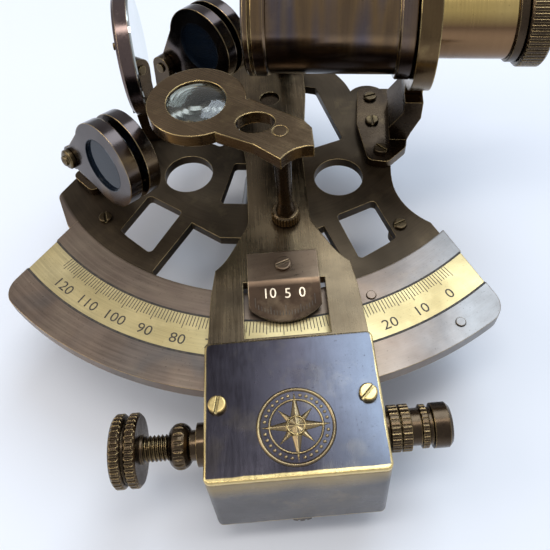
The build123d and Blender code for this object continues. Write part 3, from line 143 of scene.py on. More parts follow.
class Finish:
    """A node material that is built up step by step around one Principled shader."""

    def __init__(self, name):
        """An empty tree: the Principled shader, and the object coordinates that all patterns read."""
        self.material = bpy.data.materials.new(name)
        self.material.use_nodes = True
        self.nodes = self.material.node_tree.nodes
        self.links = self.material.node_tree.links
        self.shader = self.nodes["Principled BSDF"]
        self.place = self.nodes.new("ShaderNodeTexCoord").outputs["Object"]

    def node(self, kind, **settings):
        """A new node of a kind, with its settings."""
        made = self.nodes.new(kind)
        for key, value in settings.items():
            setattr(made, key, value)
        return made

    def feed(self, socket, value):
        """Links an output or writes a plain value into a socket."""
        if hasattr(value, "is_output"):
            self.links.new(value, socket)
        else:
            socket.default_value = value

    def stretched(self, scale=(1, 1, 1), turn_deg=0.0):
        """Object coordinates, measured along axes turned about Z and then multiplied by a scale."""
        mapping = self.node("ShaderNodeMapping", vector_type="TEXTURE")
        self.links.new(self.place, mapping.inputs["Vector"])
        mapping.inputs["Rotation"].default_value = (0, 0, math.radians(turn_deg))
        mapping.inputs["Scale"].default_value = [1.0 / number for number in scale]
        return mapping.outputs["Vector"]

    def split(self):
        """The three object coordinates, in millimetres."""
        parts = self.node("ShaderNodeSeparateXYZ")
        self.links.new(self.place, parts.inputs[0])
        return [self.math("MULTIPLY", parts.outputs[i], 1.0 / MM) for i in range(3)]

    def flow(self, turn_deg=0.0, fine=2600.0, long=70.0):
        """Coordinates for brushing along X turned by an angle: slow along it, fast across it."""
        return self.stretched((long, fine, fine), turn_deg)

    def lathe(self, turn_deg=0.0, fine=3200.0, round_about=50.0):
        """Coordinates for tool marks around an axis along X: fast along it, slow around it."""
        return self.stretched((fine, round_about, round_about), turn_deg)

    def arc(self, fine=3000.0, long=5.0):
        """Coordinates for brushing around the pivot: the distance from it and the angle about it."""
        x, y, z = self.split()
        joined = self.node("ShaderNodeCombineXYZ")
        self.feed(joined.inputs[0], self.math("MULTIPLY", self.from_pivot(x, y), fine * MM))
        self.feed(joined.inputs[1], self.math("MULTIPLY", self.math("ARCTAN2", x, y), long))
        self.feed(joined.inputs[2], self.math("MULTIPLY", z, fine * MM))
        return joined.outputs[0]

    def from_pivot(self, x, y):
        """Distance from the pivot's axis: the root of x squared plus y squared."""
        squared = self.math("ADD", self.math("MULTIPLY", x, x), self.math("MULTIPLY", y, y))
        return self.math("SQRT", squared)

    def beyond(self, value, limit, soft):
        """0 below a limit and 1 above it, with a soft step between them."""
        return self.math("MULTIPLY", self.math("SUBTRACT", value, limit), 1.0 / soft, clamp=True)

    def noise(self, scale, detail=4.0, rough=0.55, vector=None, warp=0.0):
        """Cloudy values around one half, with scale clouds to the metre unless a vector is given."""
        made = self.node("ShaderNodeTexNoise")
        self.links.new(vector or self.place, made.inputs["Vector"])
        made.inputs["Scale"].default_value = scale
        made.inputs["Detail"].default_value = detail
        made.inputs["Roughness"].default_value = rough
        made.inputs["Distortion"].default_value = warp
        return made.outputs["Fac"]

    def ramp(self, fac, *stops):
        """Colour ramp from (position, colour) stops; a colour may be one grey number."""
        made = self.node("ShaderNodeValToRGB")
        self.links.new(fac, made.inputs["Fac"])
        row = made.color_ramp.elements
        while len(row) < len(stops):
            row.new(0.5)
        for element, (position, colour) in zip(row, stops):
            element.position = position
            grey = isinstance(colour, (int, float))
            element.color = (colour, colour, colour, 1) if grey else (*colour, 1)
        return made.outputs["Color"]

    def math(self, operation, a, b=0.0, clamp=False):
        """One sum of two values, each a number or an output."""
        made = self.node("ShaderNodeMath", operation=operation, use_clamp=clamp)
        self.feed(made.inputs[0], a)
        self.feed(made.inputs[1], b)
        return made.outputs[0]

    def mix(self, fac, a, b, blend="MIX"):
        """Colour a where the mask is 0 and b where it is 1."""
        made = self.node("ShaderNodeMix", data_type="RGBA", blend_type=blend)
        self.feed(made.inputs[0], fac)
        for socket, value in ((made.inputs[6], a), (made.inputs[7], b)):
            if isinstance(value, tuple):
                value = (*value, 1.0) if len(value) == 3 else value
            self.feed(socket, value)
        return made.outputs[2]

    def worn_edges(self, radius=0.35, low=0.02, high=0.16):
        """Mask that is 1 on sharp edges: the bevelled normal turns away from the true one there."""
        bevel = self.node("ShaderNodeBevel", samples=6)
        bevel.inputs["Radius"].default_value = radius * MM
        geometry = self.node("ShaderNodeNewGeometry")
        dot = self.node("ShaderNodeVectorMath", operation="DOT_PRODUCT")
        self.links.new(bevel.outputs["Normal"], dot.inputs[0])
        self.links.new(geometry.outputs["Normal"], dot.inputs[1])
        away = self.math("SUBTRACT", 1.0, dot.outputs["Value"])
        return self.ramp(away, (low, 0.0), (high, 1.0)), bevel.outputs["Normal"]

    def crevices(self, reach_mm=1.0):
        """Mask that is 1 where a corner or a slot is shut in: ambient occlusion, used to paint shade there
        and to stand for the grime that gathers there.
        """
        shut = self.node("ShaderNodeAmbientOcclusion", samples=6, only_local=False)
        shut.inputs["Distance"].default_value = reach_mm * MM
        return self.ramp(shut.outputs["AO"], (0.30, 1.0), (0.78, 0.0))

    def bump(self, height, strength, distance_mm, normal=None):
        """Normal that is tilted as if the surface rose by the distance where the height is 1."""
        made = self.node("ShaderNodeBump")
        made.inputs["Strength"].default_value = strength
        made.inputs["Distance"].default_value = distance_mm * MM
        self.links.new(height, made.inputs["Height"])
        if normal is not None:
            self.links.new(normal, made.inputs["Normal"])
        return made.outputs["Normal"]

    def set(self, **sockets):
        """Feeds the shader's sockets and returns the finished material."""
        for name, value in sockets.items():
            label = name.replace("_", " ")
            self.feed(self.shader.inputs[label], value)
        return self.material


print("finishes are built with", sum(callable(step) for step in vars(Finish).values()), "steps")

# %% [markdown]
# The table is one large flat sheet, and the world behind it has nearly the same pale blue white.  An empty
# background that only catches shadows would do for the picture, but a real sheet also sends its light
# back up into the metal, which is what fills the undersides of the telescope and the box.

# %% Table
TABLE_HALF = 3000.0                            # from the middle to a side, mm
TABLE_Z = -0.05                                # just under the feet, mm
corners = np.array([[-TABLE_HALF, -TABLE_HALF, TABLE_Z], [TABLE_HALF, -TABLE_HALF, TABLE_Z],
                    [TABLE_HALF, TABLE_HALF, TABLE_Z], [-TABLE_HALF, TABLE_HALF, TABLE_Z]])
table = surface_object("table", corners, [[0, 1, 2, 3]])
paper = Finish("table_paper")
tint = paper.ramp(paper.noise(3.0), (0.3, (0.80, 0.82, 0.88)), (0.7, (0.85, 0.87, 0.92)))
paper.set(Base_Color=tint, Roughness=0.85)
table.data.materials.append(paper.material)
print("table", 2 * TABLE_HALF * MM, "m wide")

# %% World
SKY_COLOUR = (0.90, 0.93, 1.0, 1)
SKY_STRENGTH = 0.50
world = bpy.data.worlds.new("room")
bpy.context.scene.world = world
world.use_nodes = True
sky = world.node_tree
sky_out = sky.nodes["Background"]
sky_out.inputs["Color"].default_value = SKY_COLOUR
sky_out.inputs["Strength"].default_value = SKY_STRENGTH
print("sky strength", SKY_STRENGTH)

# %% [markdown]
# Polished metal shows the lamps themselves, so their shape matters as much as their strength.  A tall cool
# one stands for a window, a long narrow one overhead draws the streaks on the telescope and the cover, and
# a weak warm one keeps the left side from going black.  Point lamps would leave hard dots on the brass.

# %% Lamps


def softbox(name, place, aim, size, watts, colour):
    """A square area lamp at a place, turned toward an aim, both in millimetres."""
    data = bpy.data.lights.new(name, "AREA")
    data.shape = "RECTANGLE"
    data.size, data.size_y = size[0] * MM, size[1] * MM
    data.energy = watts
    data.color = colour
    lamp = bpy.data.objects.new(name, data)
    bpy.context.collection.objects.link(lamp)
    back = np.array(place, float) - np.array(aim, float)
    back /= np.linalg.norm(back)
    side = np.cross([0.0, 0.0, 1.0], back)
    side /= np.linalg.norm(side)
    turned = np.eye(4)
    turned[:3, 0], turned[:3, 1], turned[:3, 2] = side, np.cross(back, side), back
    turned[:3, 3] = np.array(place) * MM
    lamp.matrix_world = Matrix(turned.tolist())
    return lamp


softbox("window", place=(241, 290, 700), aim=(30, -60, 30), size=(420, 520), watts=3.3,
        colour=(0.74, 0.87, 1.0))
softbox("ceiling", place=(30, -110, 860), aim=(20, -20, 30), size=(620, 150), watts=2.1,
        colour=(1.0, 0.98, 0.94))
softbox("left_fill", place=(-560, -80, 420), aim=(0, -40, 30), size=(320, 520), watts=1.2,
        colour=(1.0, 0.93, 0.84))
print("lamps:", ", ".join(lamp.name for lamp in bpy.data.lights))

# %% [markdown]
# The metals.  All are brass or bronze that was darkened in a bath and then rubbed bright again on
# its edges.  Two patina tones flow into each other over a couple of centimetres; fine lines, laid the way
# the real part was filed or turned, shade the colour and the gloss a little; and a thin bright line
# follows each sharp edge, where hands have worn the bath off.  These could be painted as pictures and
# wrapped around the pieces, but one recipe of noises serves them all, needs no unwrapping and
# stays sharp from near by.

# %% Aged metal
PATCHES = dict(detail=3.0, rough=0.5, warp=0.6)   # how the wide clouds of patina are drawn
RUBBED_SCALE, PIT_SCALE = 95.0, 1900.0         # clouds to the metre: hand-rubbed spots and corrosion pits
BROKEN_SCALE, DULL_SCALE = 330.0, 120.0        # breaks in the bright edges, and clouds of gloss
PIT_DARKNESS = 0.35                            # a pit's colour as a share of the dark patina
# Colour and share of the painted shade in shut-in corners, which also stands for grime.
SHADE_AND_GRIME_COLOUR, SHADE_AND_GRIME_COVER = (0.012, 0.009, 0.007), 0.85
STREAK_HEIGHT = 0.012                          # depth of the file marks, mm


def aged_metal(name, dark, warm, edge, flow=None, gloss=(0.2, 0.38), patch=38.0, lines=0.16, edge_mm=0.32,
               wear=0.9, specks=0.35, scratch=0.12, edge_sharp=(0.02, 0.14), tones=None):
    """Darkened metal: patina tones from a wide noise, lines along the flow, bare metal on the edges."""
    made = Finish(name)
    cloud = made.noise(patch, **PATCHES)
    patina = tones(made, cloud) if tones else made.ramp(cloud, (0.30, dark), (0.70, warm))
    way = flow(made) if flow else made.stretched((1500, 1500, 1500))
    streak = made.noise(1.0, detail=4.0, rough=0.6, vector=way)
    shade = made.ramp(streak, (0.25, 1.0 - lines), (0.75, 1.0))
    patina = made.mix(1.0, patina, shade, blend="MULTIPLY")
    rubbed = made.ramp(made.noise(RUBBED_SCALE, detail=5.0, rough=0.65), (0.56, 0.0), (0.80, specks))
    patina = made.mix(rubbed, patina, edge)
    pits = made.ramp(made.noise(PIT_SCALE, detail=2.0), (0.66, 0.0), (0.74, 0.55))
    patina = made.mix(pits, patina, tuple(PIT_DARKNESS * c for c in dark))
    mask, rounded = made.worn_edges(edge_mm, *edge_sharp)
    broken = made.math("MULTIPLY", mask, made.ramp(made.noise(BROKEN_SCALE), (0.30, 0.35), (0.60, 1.0)))
    colour = made.mix(made.math("MULTIPLY", broken, wear), patina, edge)
    # Painted shade: ambient occlusion darkens shut-in corners and slots, and also stands for grime there.
    shade_and_grime = made.math("MULTIPLY", made.crevices(), SHADE_AND_GRIME_COVER)
    colour = made.mix(shade_and_grime, colour, SHADE_AND_GRIME_COLOUR)
    dull = made.ramp(made.noise(DULL_SCALE, detail=5.0), (0.3, gloss[0]), (0.72, gloss[1]))
    dull = made.math("ADD", dull, made.ramp(streak, (0.35, 0.0), (0.8, 0.10)))
    normal = made.bump(streak, scratch, STREAK_HEIGHT, rounded)
    return made.set(Base_Color=colour, Metallic=1.0, Roughness=dull, Normal=normal)


dark_bronze = aged_metal("dark_bronze", (0.045, 0.032, 0.023), (0.120, 0.082, 0.048), (0.62, 0.44, 0.20),
                         gloss=(0.16, 0.30), specks=0.12)
plain_brass = aged_metal("plain_brass", (0.20, 0.140, 0.070), (0.40, 0.28, 0.130), (0.80, 0.60, 0.28))
spring_steel = aged_metal("spring_steel", (0.35, 0.35, 0.36), (0.5, 0.5, 0.51), (0.7, 0.7, 0.7))
print("plain metals:", dark_bronze.name, plain_brass.name, spring_steel.name)

# %% [markdown]
# The bath did not take evenly, so some pieces change colour from place to place: the cast web is darker
# than the filed limb, the box is brassy just under its cover, and the tube has heat tints in rings.  Other
# tones are painted light: a painted reflection of the window makes the limb and the cover bluer toward the
# right, and painted shade darkens the underside of the telescope and the sloping leaf of the vernier.  They
# could be separate materials on separate faces, but a tone that is worked out from the place has soft
# borders and needs no cut in the mesh.  Each function below takes the cloud and returns the colour.

# %% Tones of the casting
CASTING_TURN = -7.5                            # degrees from the world to the frame casting
LIMB_FROM = 71.0                               # radius where the filed limb begins, mm
# The limb's blue grey toward its right end is a painted reflection of the window.
REFLECTED_GREY_FROM, REFLECTED_GREY_SOFT = 38.0, 22.0              # where the limb turns grey toward its right end, mm
CLOUD_DRIFT = 30.0                             # how far the clouds push that border about, mm


def casting_tones(made, cloud):
    """Olive black on the cast web; on the filed limb copper brown, and blue grey toward its right end, a
    painted reflection of the window.
    """
    web = made.ramp(cloud, (0.30, (0.042, 0.031, 0.021)), (0.70, (0.112, 0.080, 0.050)))
    limb = made.ramp(cloud, (0.28, (0.150, 0.134, 0.124)), (0.48, (0.255, 0.185, 0.138)),
                     (0.72, (0.330, 0.250, 0.180)))
    x, y, _ = made.split()
    drift = made.math("ADD", x, made.math("MULTIPLY", cloud, CLOUD_DRIFT))
    limb = made.mix(made.beyond(drift, REFLECTED_GREY_FROM, REFLECTED_GREY_SOFT), limb, (0.270, 0.255, 0.245))
    return made.mix(made.beyond(made.from_pivot(x, y), LIMB_FROM, 1.0), web, limb)


print("limb begins at radius", LIMB_FROM, "mm")

# %% Tones of the box
BRASSY_FROM, BRASSY_SOFT = 32.5, 5.0           # heights where the wall turns to brass, mm
BRASSY_DRIFT = 7.0                             # how far the clouds push that border about, mm
SEAM_Z = 35.6                                  # the dark joint under the cover, mm
NEAR_RIM, SIDE_RIM, FAR_RIM = 119.15, 19.75, -87.55   # where the cover's bare rim begins, mm
RIM_SOFT, RIM_WOBBLE = 0.25, 0.7               # mm
# Where the painted reflection of the window begins on the cover, toward the right.
REFLECTED_BLUE_FROM, REFLECTED_BLUE_SOFT, REFLECTED_BLUE_DRIFT = 9.0, 16.0, 14.0    # where the cover turns blue toward the right, mm


def wall_tones(made, cloud):
    """Blue grey low on the wall of the box, brass where the bath ran thin below the cover, a dark seam."""
    low = made.ramp(cloud, (0.30, (0.092, 0.094, 0.108)), (0.70, (0.175, 0.160, 0.148)))
    height = made.split()[2]
    uneven = made.math("ADD", height, made.math("MULTIPLY", cloud, BRASSY_DRIFT))
    brass_top = made.mix(made.beyond(uneven, BRASSY_FROM, BRASSY_SOFT), low, (0.34, 0.255, 0.130))
    return made.mix(made.beyond(height, SEAM_Z, 0.15), brass_top, (0.03, 0.022, 0.014))


def cover_tones(made, cloud):
    """Purple black bath on the cover, with a painted reflection of the window that makes it bluer to the
    right; its rim is rubbed to bare brass.
    """
    bath = made.ramp(cloud, (0.30, (0.040, 0.034, 0.041)), (0.70, (0.078, 0.069, 0.080)))
    x, y, _ = made.split()
    drift = made.math("ADD", x, made.math("MULTIPLY", cloud, REFLECTED_BLUE_DRIFT))
    # Painted reflection of the window: the cover turns blue toward the right.
    bath = made.mix(made.beyond(drift, REFLECTED_BLUE_FROM, REFLECTED_BLUE_SOFT), bath, (0.110, 0.118, 0.142))
    wobble = made.math("MULTIPLY", made.noise(160.0), RIM_WOBBLE)
    near = made.beyond(made.math("SUBTRACT", wobble, y), NEAR_RIM, RIM_SOFT)
    sides = made.beyond(made.math("ADD", made.math("ABSOLUTE", x), wobble), SIDE_RIM, RIM_SOFT)
    far = made.beyond(made.math("ADD", y, wobble), FAR_RIM, RIM_SOFT)
    rim = made.math("MAXIMUM", made.math("MAXIMUM", near, sides), far)
    return made.mix(rim, bath, (0.86, 0.66, 0.30))


print("the cover's rim is bare from", SIDE_RIM, "mm outward")

# %% Tones of the telescope
# The undersides of the tubes are painted shade: they turn dark below the axis, on the side that faces down
# and a little toward the user.
SCOPE_MIDDLE = 66.5                            # height plus a share of the depth, on the telescope's axis, mm
DEPTH_SHARE = 0.75                             # the dark side faces down and a little toward the user
TUBE_SHADED_BELOW, DRAW_SHADED_BELOW = 14.0, 5.0   # how far under the axis each tube turns dark, mm


def upper_side(made, below):
    """Mask for the painted shade on the telescope: 0 on its near lower side and 1 on its top, from height
    plus a share of the depth.
    """
    x, y, z = made.split()
    depth = made.math("SUBTRACT", y, made.math("MULTIPLY", x, math.tan(math.radians(CASTING_TURN))))
    across = made.math("ADD", made.math("MULTIPLY", depth, DEPTH_SHARE), z)
    return made.beyond(across, SCOPE_MIDDLE - below, 5.0)


def tube_tones(made, cloud):
    """Heat tints on the telescope: black brown, straw and a blue purple that come and go in rings; its
    underside is painted shade.
    """
    rings = made.noise(1.0, detail=2.0, vector=made.lathe(CASTING_TURN, fine=110.0, round_about=12.0))
    tint = made.ramp(rings, (0.28, (0.085, 0.058, 0.045)), (0.45, (0.270, 0.170, 0.080)),
                     (0.58, (0.150, 0.125, 0.140)), (0.72, (0.330, 0.225, 0.105)))
    tint = made.mix(made.ramp(cloud, (0.35, 0.0), (0.65, 0.45)), tint, (0.120, 0.092, 0.080))
    return made.mix(upper_side(made, TUBE_SHADED_BELOW), (0.050, 0.032, 0.024), tint)


def draw_tones(made, cloud):
    """The drawn tube is yellow brass on top and copper brown underneath, which is painted shade."""
    yellow = made.ramp(cloud, (0.30, (0.66, 0.46, 0.15)), (0.70, (0.84, 0.63, 0.26)))
    return made.mix(upper_side(made, DRAW_SHADED_BELOW), (0.230, 0.135, 0.070), yellow)


print("the tube is dark from", TUBE_SHADED_BELOW, "mm under its axis")

# %% Tones of the vernier
LEAF_BELOW = 35.1                              # height where the sloping leaf of the vernier begins, mm


def leaf_tones(made, cloud):
    """Copper on the flat top of the vernier; below the bend its sloping leaf is nearly black, which is
    painted shade.
    """
    top = made.ramp(cloud, (0.30, (0.105, 0.070, 0.048)), (0.70, (0.210, 0.145, 0.096)))
    return made.mix(made.beyond(made.split()[2], LEAF_BELOW, 0.4), (0.030, 0.020, 0.014), top)


print("the leaf lies below", LEAF_BELOW, "mm")

# %% [markdown]
# Each finish below is a row of facts: two patina tones, the bare metal of its edges, the way its file
# or lathe marks run, and how glossy it is.  The marks run around the pivot on the limb, along the arm, and
# around the axis on all that was turned on a lathe.  One finish for all of them would be shorter, but
# then castings, plates and tubes would look as if they were cut from the same sheet.

# %% Finishes of the castings and the scale
casting_bronze = aged_metal("casting_bronze", (0.100, 0.078, 0.060), (0.205, 0.150, 0.105),
                            (0.62, 0.45, 0.22), flow=lambda f: f.arc(fine=2200.0, long=4.0),
                            gloss=(0.30, 0.45), lines=0.26, specks=0.10, tones=casting_tones)
arm_bronze = aged_metal("arm_bronze", (0.080, 0.060, 0.040), (0.220, 0.155, 0.088), (0.74, 0.56, 0.28),
                        flow=lambda f: f.flow(90.0), gloss=(0.16, 0.30), lines=0.34, specks=0.12)
plate_bronze = aged_metal("plate_bronze", (0.105, 0.070, 0.040), (0.205, 0.135, 0.075), (0.84, 0.62, 0.28),
                          flow=lambda f: f.flow(-35.0), gloss=(0.16, 0.28), lines=0.16, edge_mm=0.45,
                          specks=0.12)
scale_brass = aged_metal("scale_brass", (0.54, 0.42, 0.20), (0.72, 0.59, 0.32), (0.82, 0.66, 0.36),
                         flow=lambda f: f.arc(), gloss=(0.36, 0.52), lines=0.24, specks=0.5)
copper_plate = aged_metal("copper_plate", (0.085, 0.056, 0.038), (0.180, 0.122, 0.080), (0.80, 0.62, 0.40),
                          flow=lambda f: f.flow(8.0), gloss=(0.26, 0.40), lines=0.20, edge_mm=0.5,
                          specks=0.08, tones=leaf_tones)
print(casting_bronze.name, arm_bronze.name, plate_bronze.name, scale_brass.name, copper_plate.name)

# %% Finishes of the telescope and the shades
tube_bronze = aged_metal("tube_bronze", (0.135, 0.092, 0.064), (0.330, 0.215, 0.105), (0.88, 0.66, 0.29),
                         flow=lambda f: f.lathe(CASTING_TURN), gloss=(0.10, 0.22), lines=0.22, patch=55.0,
                         edge_mm=0.45, specks=0.10, tones=tube_tones)
ring_brass = aged_metal("ring_brass", (0.110, 0.070, 0.035), (0.290, 0.190, 0.085), (0.90, 0.70, 0.32),
                        flow=lambda f: f.lathe(CASTING_TURN), gloss=(0.12, 0.24), edge_mm=0.5, specks=0.15)
draw_brass = aged_metal("draw_brass", (0.60, 0.41, 0.15), (0.80, 0.59, 0.25), (0.90, 0.74, 0.40),
                        flow=lambda f: f.lathe(CASTING_TURN), gloss=(0.12, 0.24), lines=0.15, specks=0.12,
                        tones=draw_tones)
shade_bronze = aged_metal("shade_bronze", (0.085, 0.060, 0.062), (0.165, 0.120, 0.108), (0.74, 0.56, 0.30),
                          gloss=(0.12, 0.26), lines=0.12, specks=0.10)
print(tube_bronze.name, ring_brass.name, draw_brass.name, shade_bronze.name)

# %% Finishes of the box and the screws
gunmetal = aged_metal("gunmetal", (0.080, 0.068, 0.080), (0.140, 0.122, 0.140), (0.90, 0.68, 0.30),
                      flow=lambda f: f.flow(90.0, fine=1400.0, long=160.0), gloss=(0.12, 0.25), lines=0.10,
                      edge_mm=0.6, wear=1.0, specks=0.05, scratch=0.05, edge_sharp=(0.015, 0.07),
                      tones=cover_tones)
wall_metal = aged_metal("wall_metal", (0.130, 0.128, 0.145), (0.235, 0.215, 0.205), (0.88, 0.66, 0.30),
                        flow=lambda f: f.flow(0.0), gloss=(0.20, 0.36), lines=0.20, edge_mm=0.7, wear=1.0,
                        specks=0.15, tones=wall_tones)
rose_brass = aged_metal("rose_brass", (0.200, 0.150, 0.100), (0.420, 0.310, 0.160), (0.90, 0.68, 0.30),
                        flow=lambda f: f.flow(90.0), gloss=(0.14, 0.28), lines=0.14, edge_mm=0.22, wear=1.0)
screw_metal = aged_metal("screw_metal", (0.075, 0.054, 0.032), (0.155, 0.110, 0.058), (0.66, 0.49, 0.23),
                         wear=0.7)
yellow_screw = aged_metal("yellow_screw", (0.55, 0.39, 0.15), (0.76, 0.57, 0.25), (0.92, 0.76, 0.42))
print(gunmetal.name, wall_metal.name, rose_brass.name, screw_metal.name, yellow_screw.name)

# %% [markdown]
# The handle is dark polished wood, whose grain runs along it under a coat of varnish.  Glass is clear with a
# faint uneven dullness, as old lenses have, and a mirror is a metal that is almost perfectly smooth, since
# the silver behind a thin pane is all that shows.

# %% Wood, lenses and mirrors


def black_grip():
    """Dark polished wood: long grain along the handle under a gloss coat."""
    made = Finish("black_grip")
    grain = made.noise(1.0, vector=made.stretched((700, 60, 700)))
    colour = made.ramp(grain, (0.35, (0.006, 0.005, 0.005)), (0.7, (0.022, 0.015, 0.011)))
    return made.set(Base_Color=colour, Roughness=0.3, Coat_Weight=0.5, Coat_Roughness=0.12)


def clear_glass(name, colour, rough):
    """Tinted glass whose surface is a little duller in clouds."""
    made = Finish(name)
    faint = made.ramp(made.noise(220.0), (0.4, rough), (0.8, rough + 0.03))
    return made.set(Base_Color=(*colour, 1), Roughness=faint, Transmission_Weight=1.0, IOR=1.5)


def silvered_glass():
    """Silver behind a pane: a pale smooth metal with faint clouds."""
    made = Finish("silvered_glass")
    colour = made.ramp(made.noise(50.0), (0.35, (0.62, 0.68, 0.66)), (0.7, (0.80, 0.84, 0.83)))
    return made.set(Base_Color=colour, Metallic=1.0, Roughness=0.04)


grip = black_grip()
lens_glass = clear_glass("lens_glass", (0.74, 0.78, 0.68), rough=0.08)
mirror_glass = silvered_glass()
print(grip.name, lens_glass.name, mirror_glass.name)

# %% [markdown]
# A shade is a brass ring that holds a pane of dark glass, and both are one node here.  A pane of its own
# laid over the ring would double the glass, so one material serves: it measures each point's distance
# from the axis of the ring, and is glass inside and metal outside.

# %% Shades
PANE_R = 7.7                                   # radius of the pane, mm
# For each shade a point on its axis, in mm, and the direction of that axis.
HORIZON_SHADE = ((-44.2, -39.2, 51.1), (0.72717, 0.66632, -0.16505))
INDEX_SHADE = ((-19.0, 4.9, 53.8), (0.65899, 0.74485, -0.10453))


def shade_finish(name, centre, axis):
    """Within the pane's radius of the axis the metal turns to dark glass: the distance from the axis
    is the length of the cross product of the axis and the way to the point."""
    made = Finish(name)
    x, y, z = made.split()
    spot = made.node("ShaderNodeCombineXYZ")
    for socket, value, middle in zip(spot.inputs, (x, y, z), centre):
        made.feed(socket, made.math("SUBTRACT", value, middle))
    cross = made.node("ShaderNodeVectorMath", operation="CROSS_PRODUCT")
    made.links.new(spot.outputs[0], cross.inputs[0])
    cross.inputs[1].default_value = axis
    length = made.node("ShaderNodeVectorMath", operation="LENGTH")
    made.links.new(cross.outputs[0], length.inputs[0])
    metal = made.beyond(length.outputs["Value"], PANE_R, 0.12)
    cloud = made.noise(45.0, detail=3.0, warp=0.6)
    bath = made.ramp(cloud, (0.30, (0.050, 0.038, 0.036)), (0.52, (0.082, 0.066, 0.062)),
                     (0.74, (0.230, 0.155, 0.070)))
    mask, rounded = made.worn_edges(0.35)
    broken = made.ramp(made.noise(BROKEN_SCALE), (0.3, 0.3), (0.6, 0.95))
    bath = made.mix(made.math("MULTIPLY", mask, broken), bath, (0.78, 0.58, 0.30))
    # Painted shade in shut-in corners, which also stands for grime.
    bath = made.mix(made.math("MULTIPLY", made.crevices(), SHADE_AND_GRIME_COVER), bath, (0.010, 0.008, 0.007))
    glass = made.ramp(made.noise(60.0), (0.3, (0.010, 0.017, 0.030)), (0.7, (0.018, 0.030, 0.050)))
    dull = made.ramp(made.noise(130.0, detail=5.0), (0.3, 0.12), (0.72, 0.26))
    clear = made.math("SUBTRACT", 1.0, metal)
    return made.set(Base_Color=made.mix(metal, glass, bath), Metallic=metal, Normal=rounded, IOR=1.25,
                    Roughness=made.mix(metal, (0.03, 0.03, 0.03), dull),
                    Transmission_Weight=made.math("MULTIPLY", clear, 0.5))


horizon_shade = shade_finish("horizon_shade", *HORIZON_SHADE)
index_shade = shade_finish("index_shade", *INDEX_SHADE)
print(horizon_shade.name, index_shade.name)

# %% [markdown]
# Each node of the packed model names the material slot it belongs to, so most finishes are given out by
# slot.  Some nodes share a slot but look different on the real part, and those are named one by one.  A
# list of all the nodes would do as well, but it would be long and would hide which ones are special.

# %% Finishes on the nodes
BY_SLOT = {
    "casting_bronze": casting_bronze, "scale_brass": scale_brass, "plain_brass": plain_brass,
    "dark_bronze": dark_bronze, "steel_screw": screw_metal, "tube_bronze": tube_bronze,
    "draw_brass": draw_brass, "grip_dark": grip, "gunmetal": gunmetal, "copper_plate": copper_plate,
    "lens_glass": lens_glass, "mirror_glass": mirror_glass, "spring_steel": spring_steel,
}
slot_of = {entry["node"]: entry["material_slot"] for entry in frame["record"]["subparts"]}
OWN_FINISH = {
    "index_arm": arm_bronze, "glass_frame": plate_bronze, "glass_pivot_cap": plate_bronze,
    "cover_screws": yellow_screw, "vernier_screw": copper_plate, "objective_bezel": tube_bronze,
    "telescope_ring": ring_brass, "pivot_shaft": dark_bronze, "glass_post": dark_bronze,
    "glass_post_nut": dark_bronze, "tangent_screw": dark_bronze, "tangent_bush": dark_bronze,
    "spring_barrel": dark_bronze, "clamp_screw": dark_bronze, "eyepiece_flange": dark_bronze,
    "horizon_ring": shade_bronze, "horizon_shade_front": horizon_shade, "horizon_shade_rear": horizon_shade,
    "index_shade_front": index_shade, "index_shade_rear": index_shade, "limb_pins": casting_bronze,
    "box_housing": wall_metal,
}
for name, solid in nodes.items():
    for material_slot in solid.material_slots:
        material_slot.material = OWN_FINISH.get(name, BY_SLOT[slot_of[name]])
print(len(BY_SLOT), "slots and", len(OWN_FINISH), "single nodes have their finish, of", len(nodes))

# %% [markdown]
# The engraved marks.  On the real part a dividing engine cuts the lines of the scale and black wax
# fills them.  They could be cut into the metal, but lines a tenth of a millimetre wide would need a very
# dense mesh.  Here each line is a thin black bar that stands two hundredths of a millimetre proud, and the
# digits are letters turned into a mesh, so all of a plate's marks together are one light object.

# %% Black filling of the marks
MARK_HEIGHT = 0.02                             # mm that a mark stands proud of its plate


def filled_black():
    """Old black wax in the cuts: nearly black, dull, a little brown where it has worn thin."""
    made = Finish("filled_black")
    worn = made.noise(600.0, detail=5.0, rough=0.65)
    colour = made.ramp(worn, (0.35, (0.014, 0.011, 0.009)), (0.75, (0.085, 0.062, 0.038)))
    rough = made.ramp(made.noise(900.0), (0.3, 0.45), (0.7, 0.7))
    return made.set(Base_Color=colour, Roughness=rough, Normal=made.bump(worn, 0.2, 0.01))


black_fill = filled_black()
print(black_fill.name, "stands", MARK_HEIGHT, "mm proud")

# %% Bars
BOX_FACES = np.array([[0, 3, 2, 1], [4, 5, 6, 7], [0, 1, 5, 4], [1, 2, 6, 5], [2, 3, 7, 6], [3, 0, 4, 7]])


def bars(starts, ends, widths, z, height):
    """Flat bars between two rows of points: each is its line widened by half a width to both sides."""
    starts, ends = np.asarray(starts, float), np.asarray(ends, float)
    along = ends - starts
    along /= np.linalg.norm(along, axis=1, keepdims=True)
    side = np.stack([-along[:, 1], along[:, 0]], axis=1) * 0.5 * np.asarray(widths, float)[:, None]
    ring = np.stack([starts - side, ends - side, ends + side, starts + side], axis=1)
    low = np.concatenate([ring, np.full(ring.shape[:2] + (1,), z)], axis=2)
    high = np.concatenate([ring, np.full(ring.shape[:2] + (1,), z + height)], axis=2)
    points = np.concatenate([low, high], axis=1).reshape(-1, 3)
    faces = (BOX_FACES[None] + 8 * np.arange(len(starts))[:, None, None]).reshape(-1, 4)
    return points, faces


print("each bar has", len(BOX_FACES), "faces")

# %% Letters
CURVE_STEPS = 3                                # steps in each curve of a letter


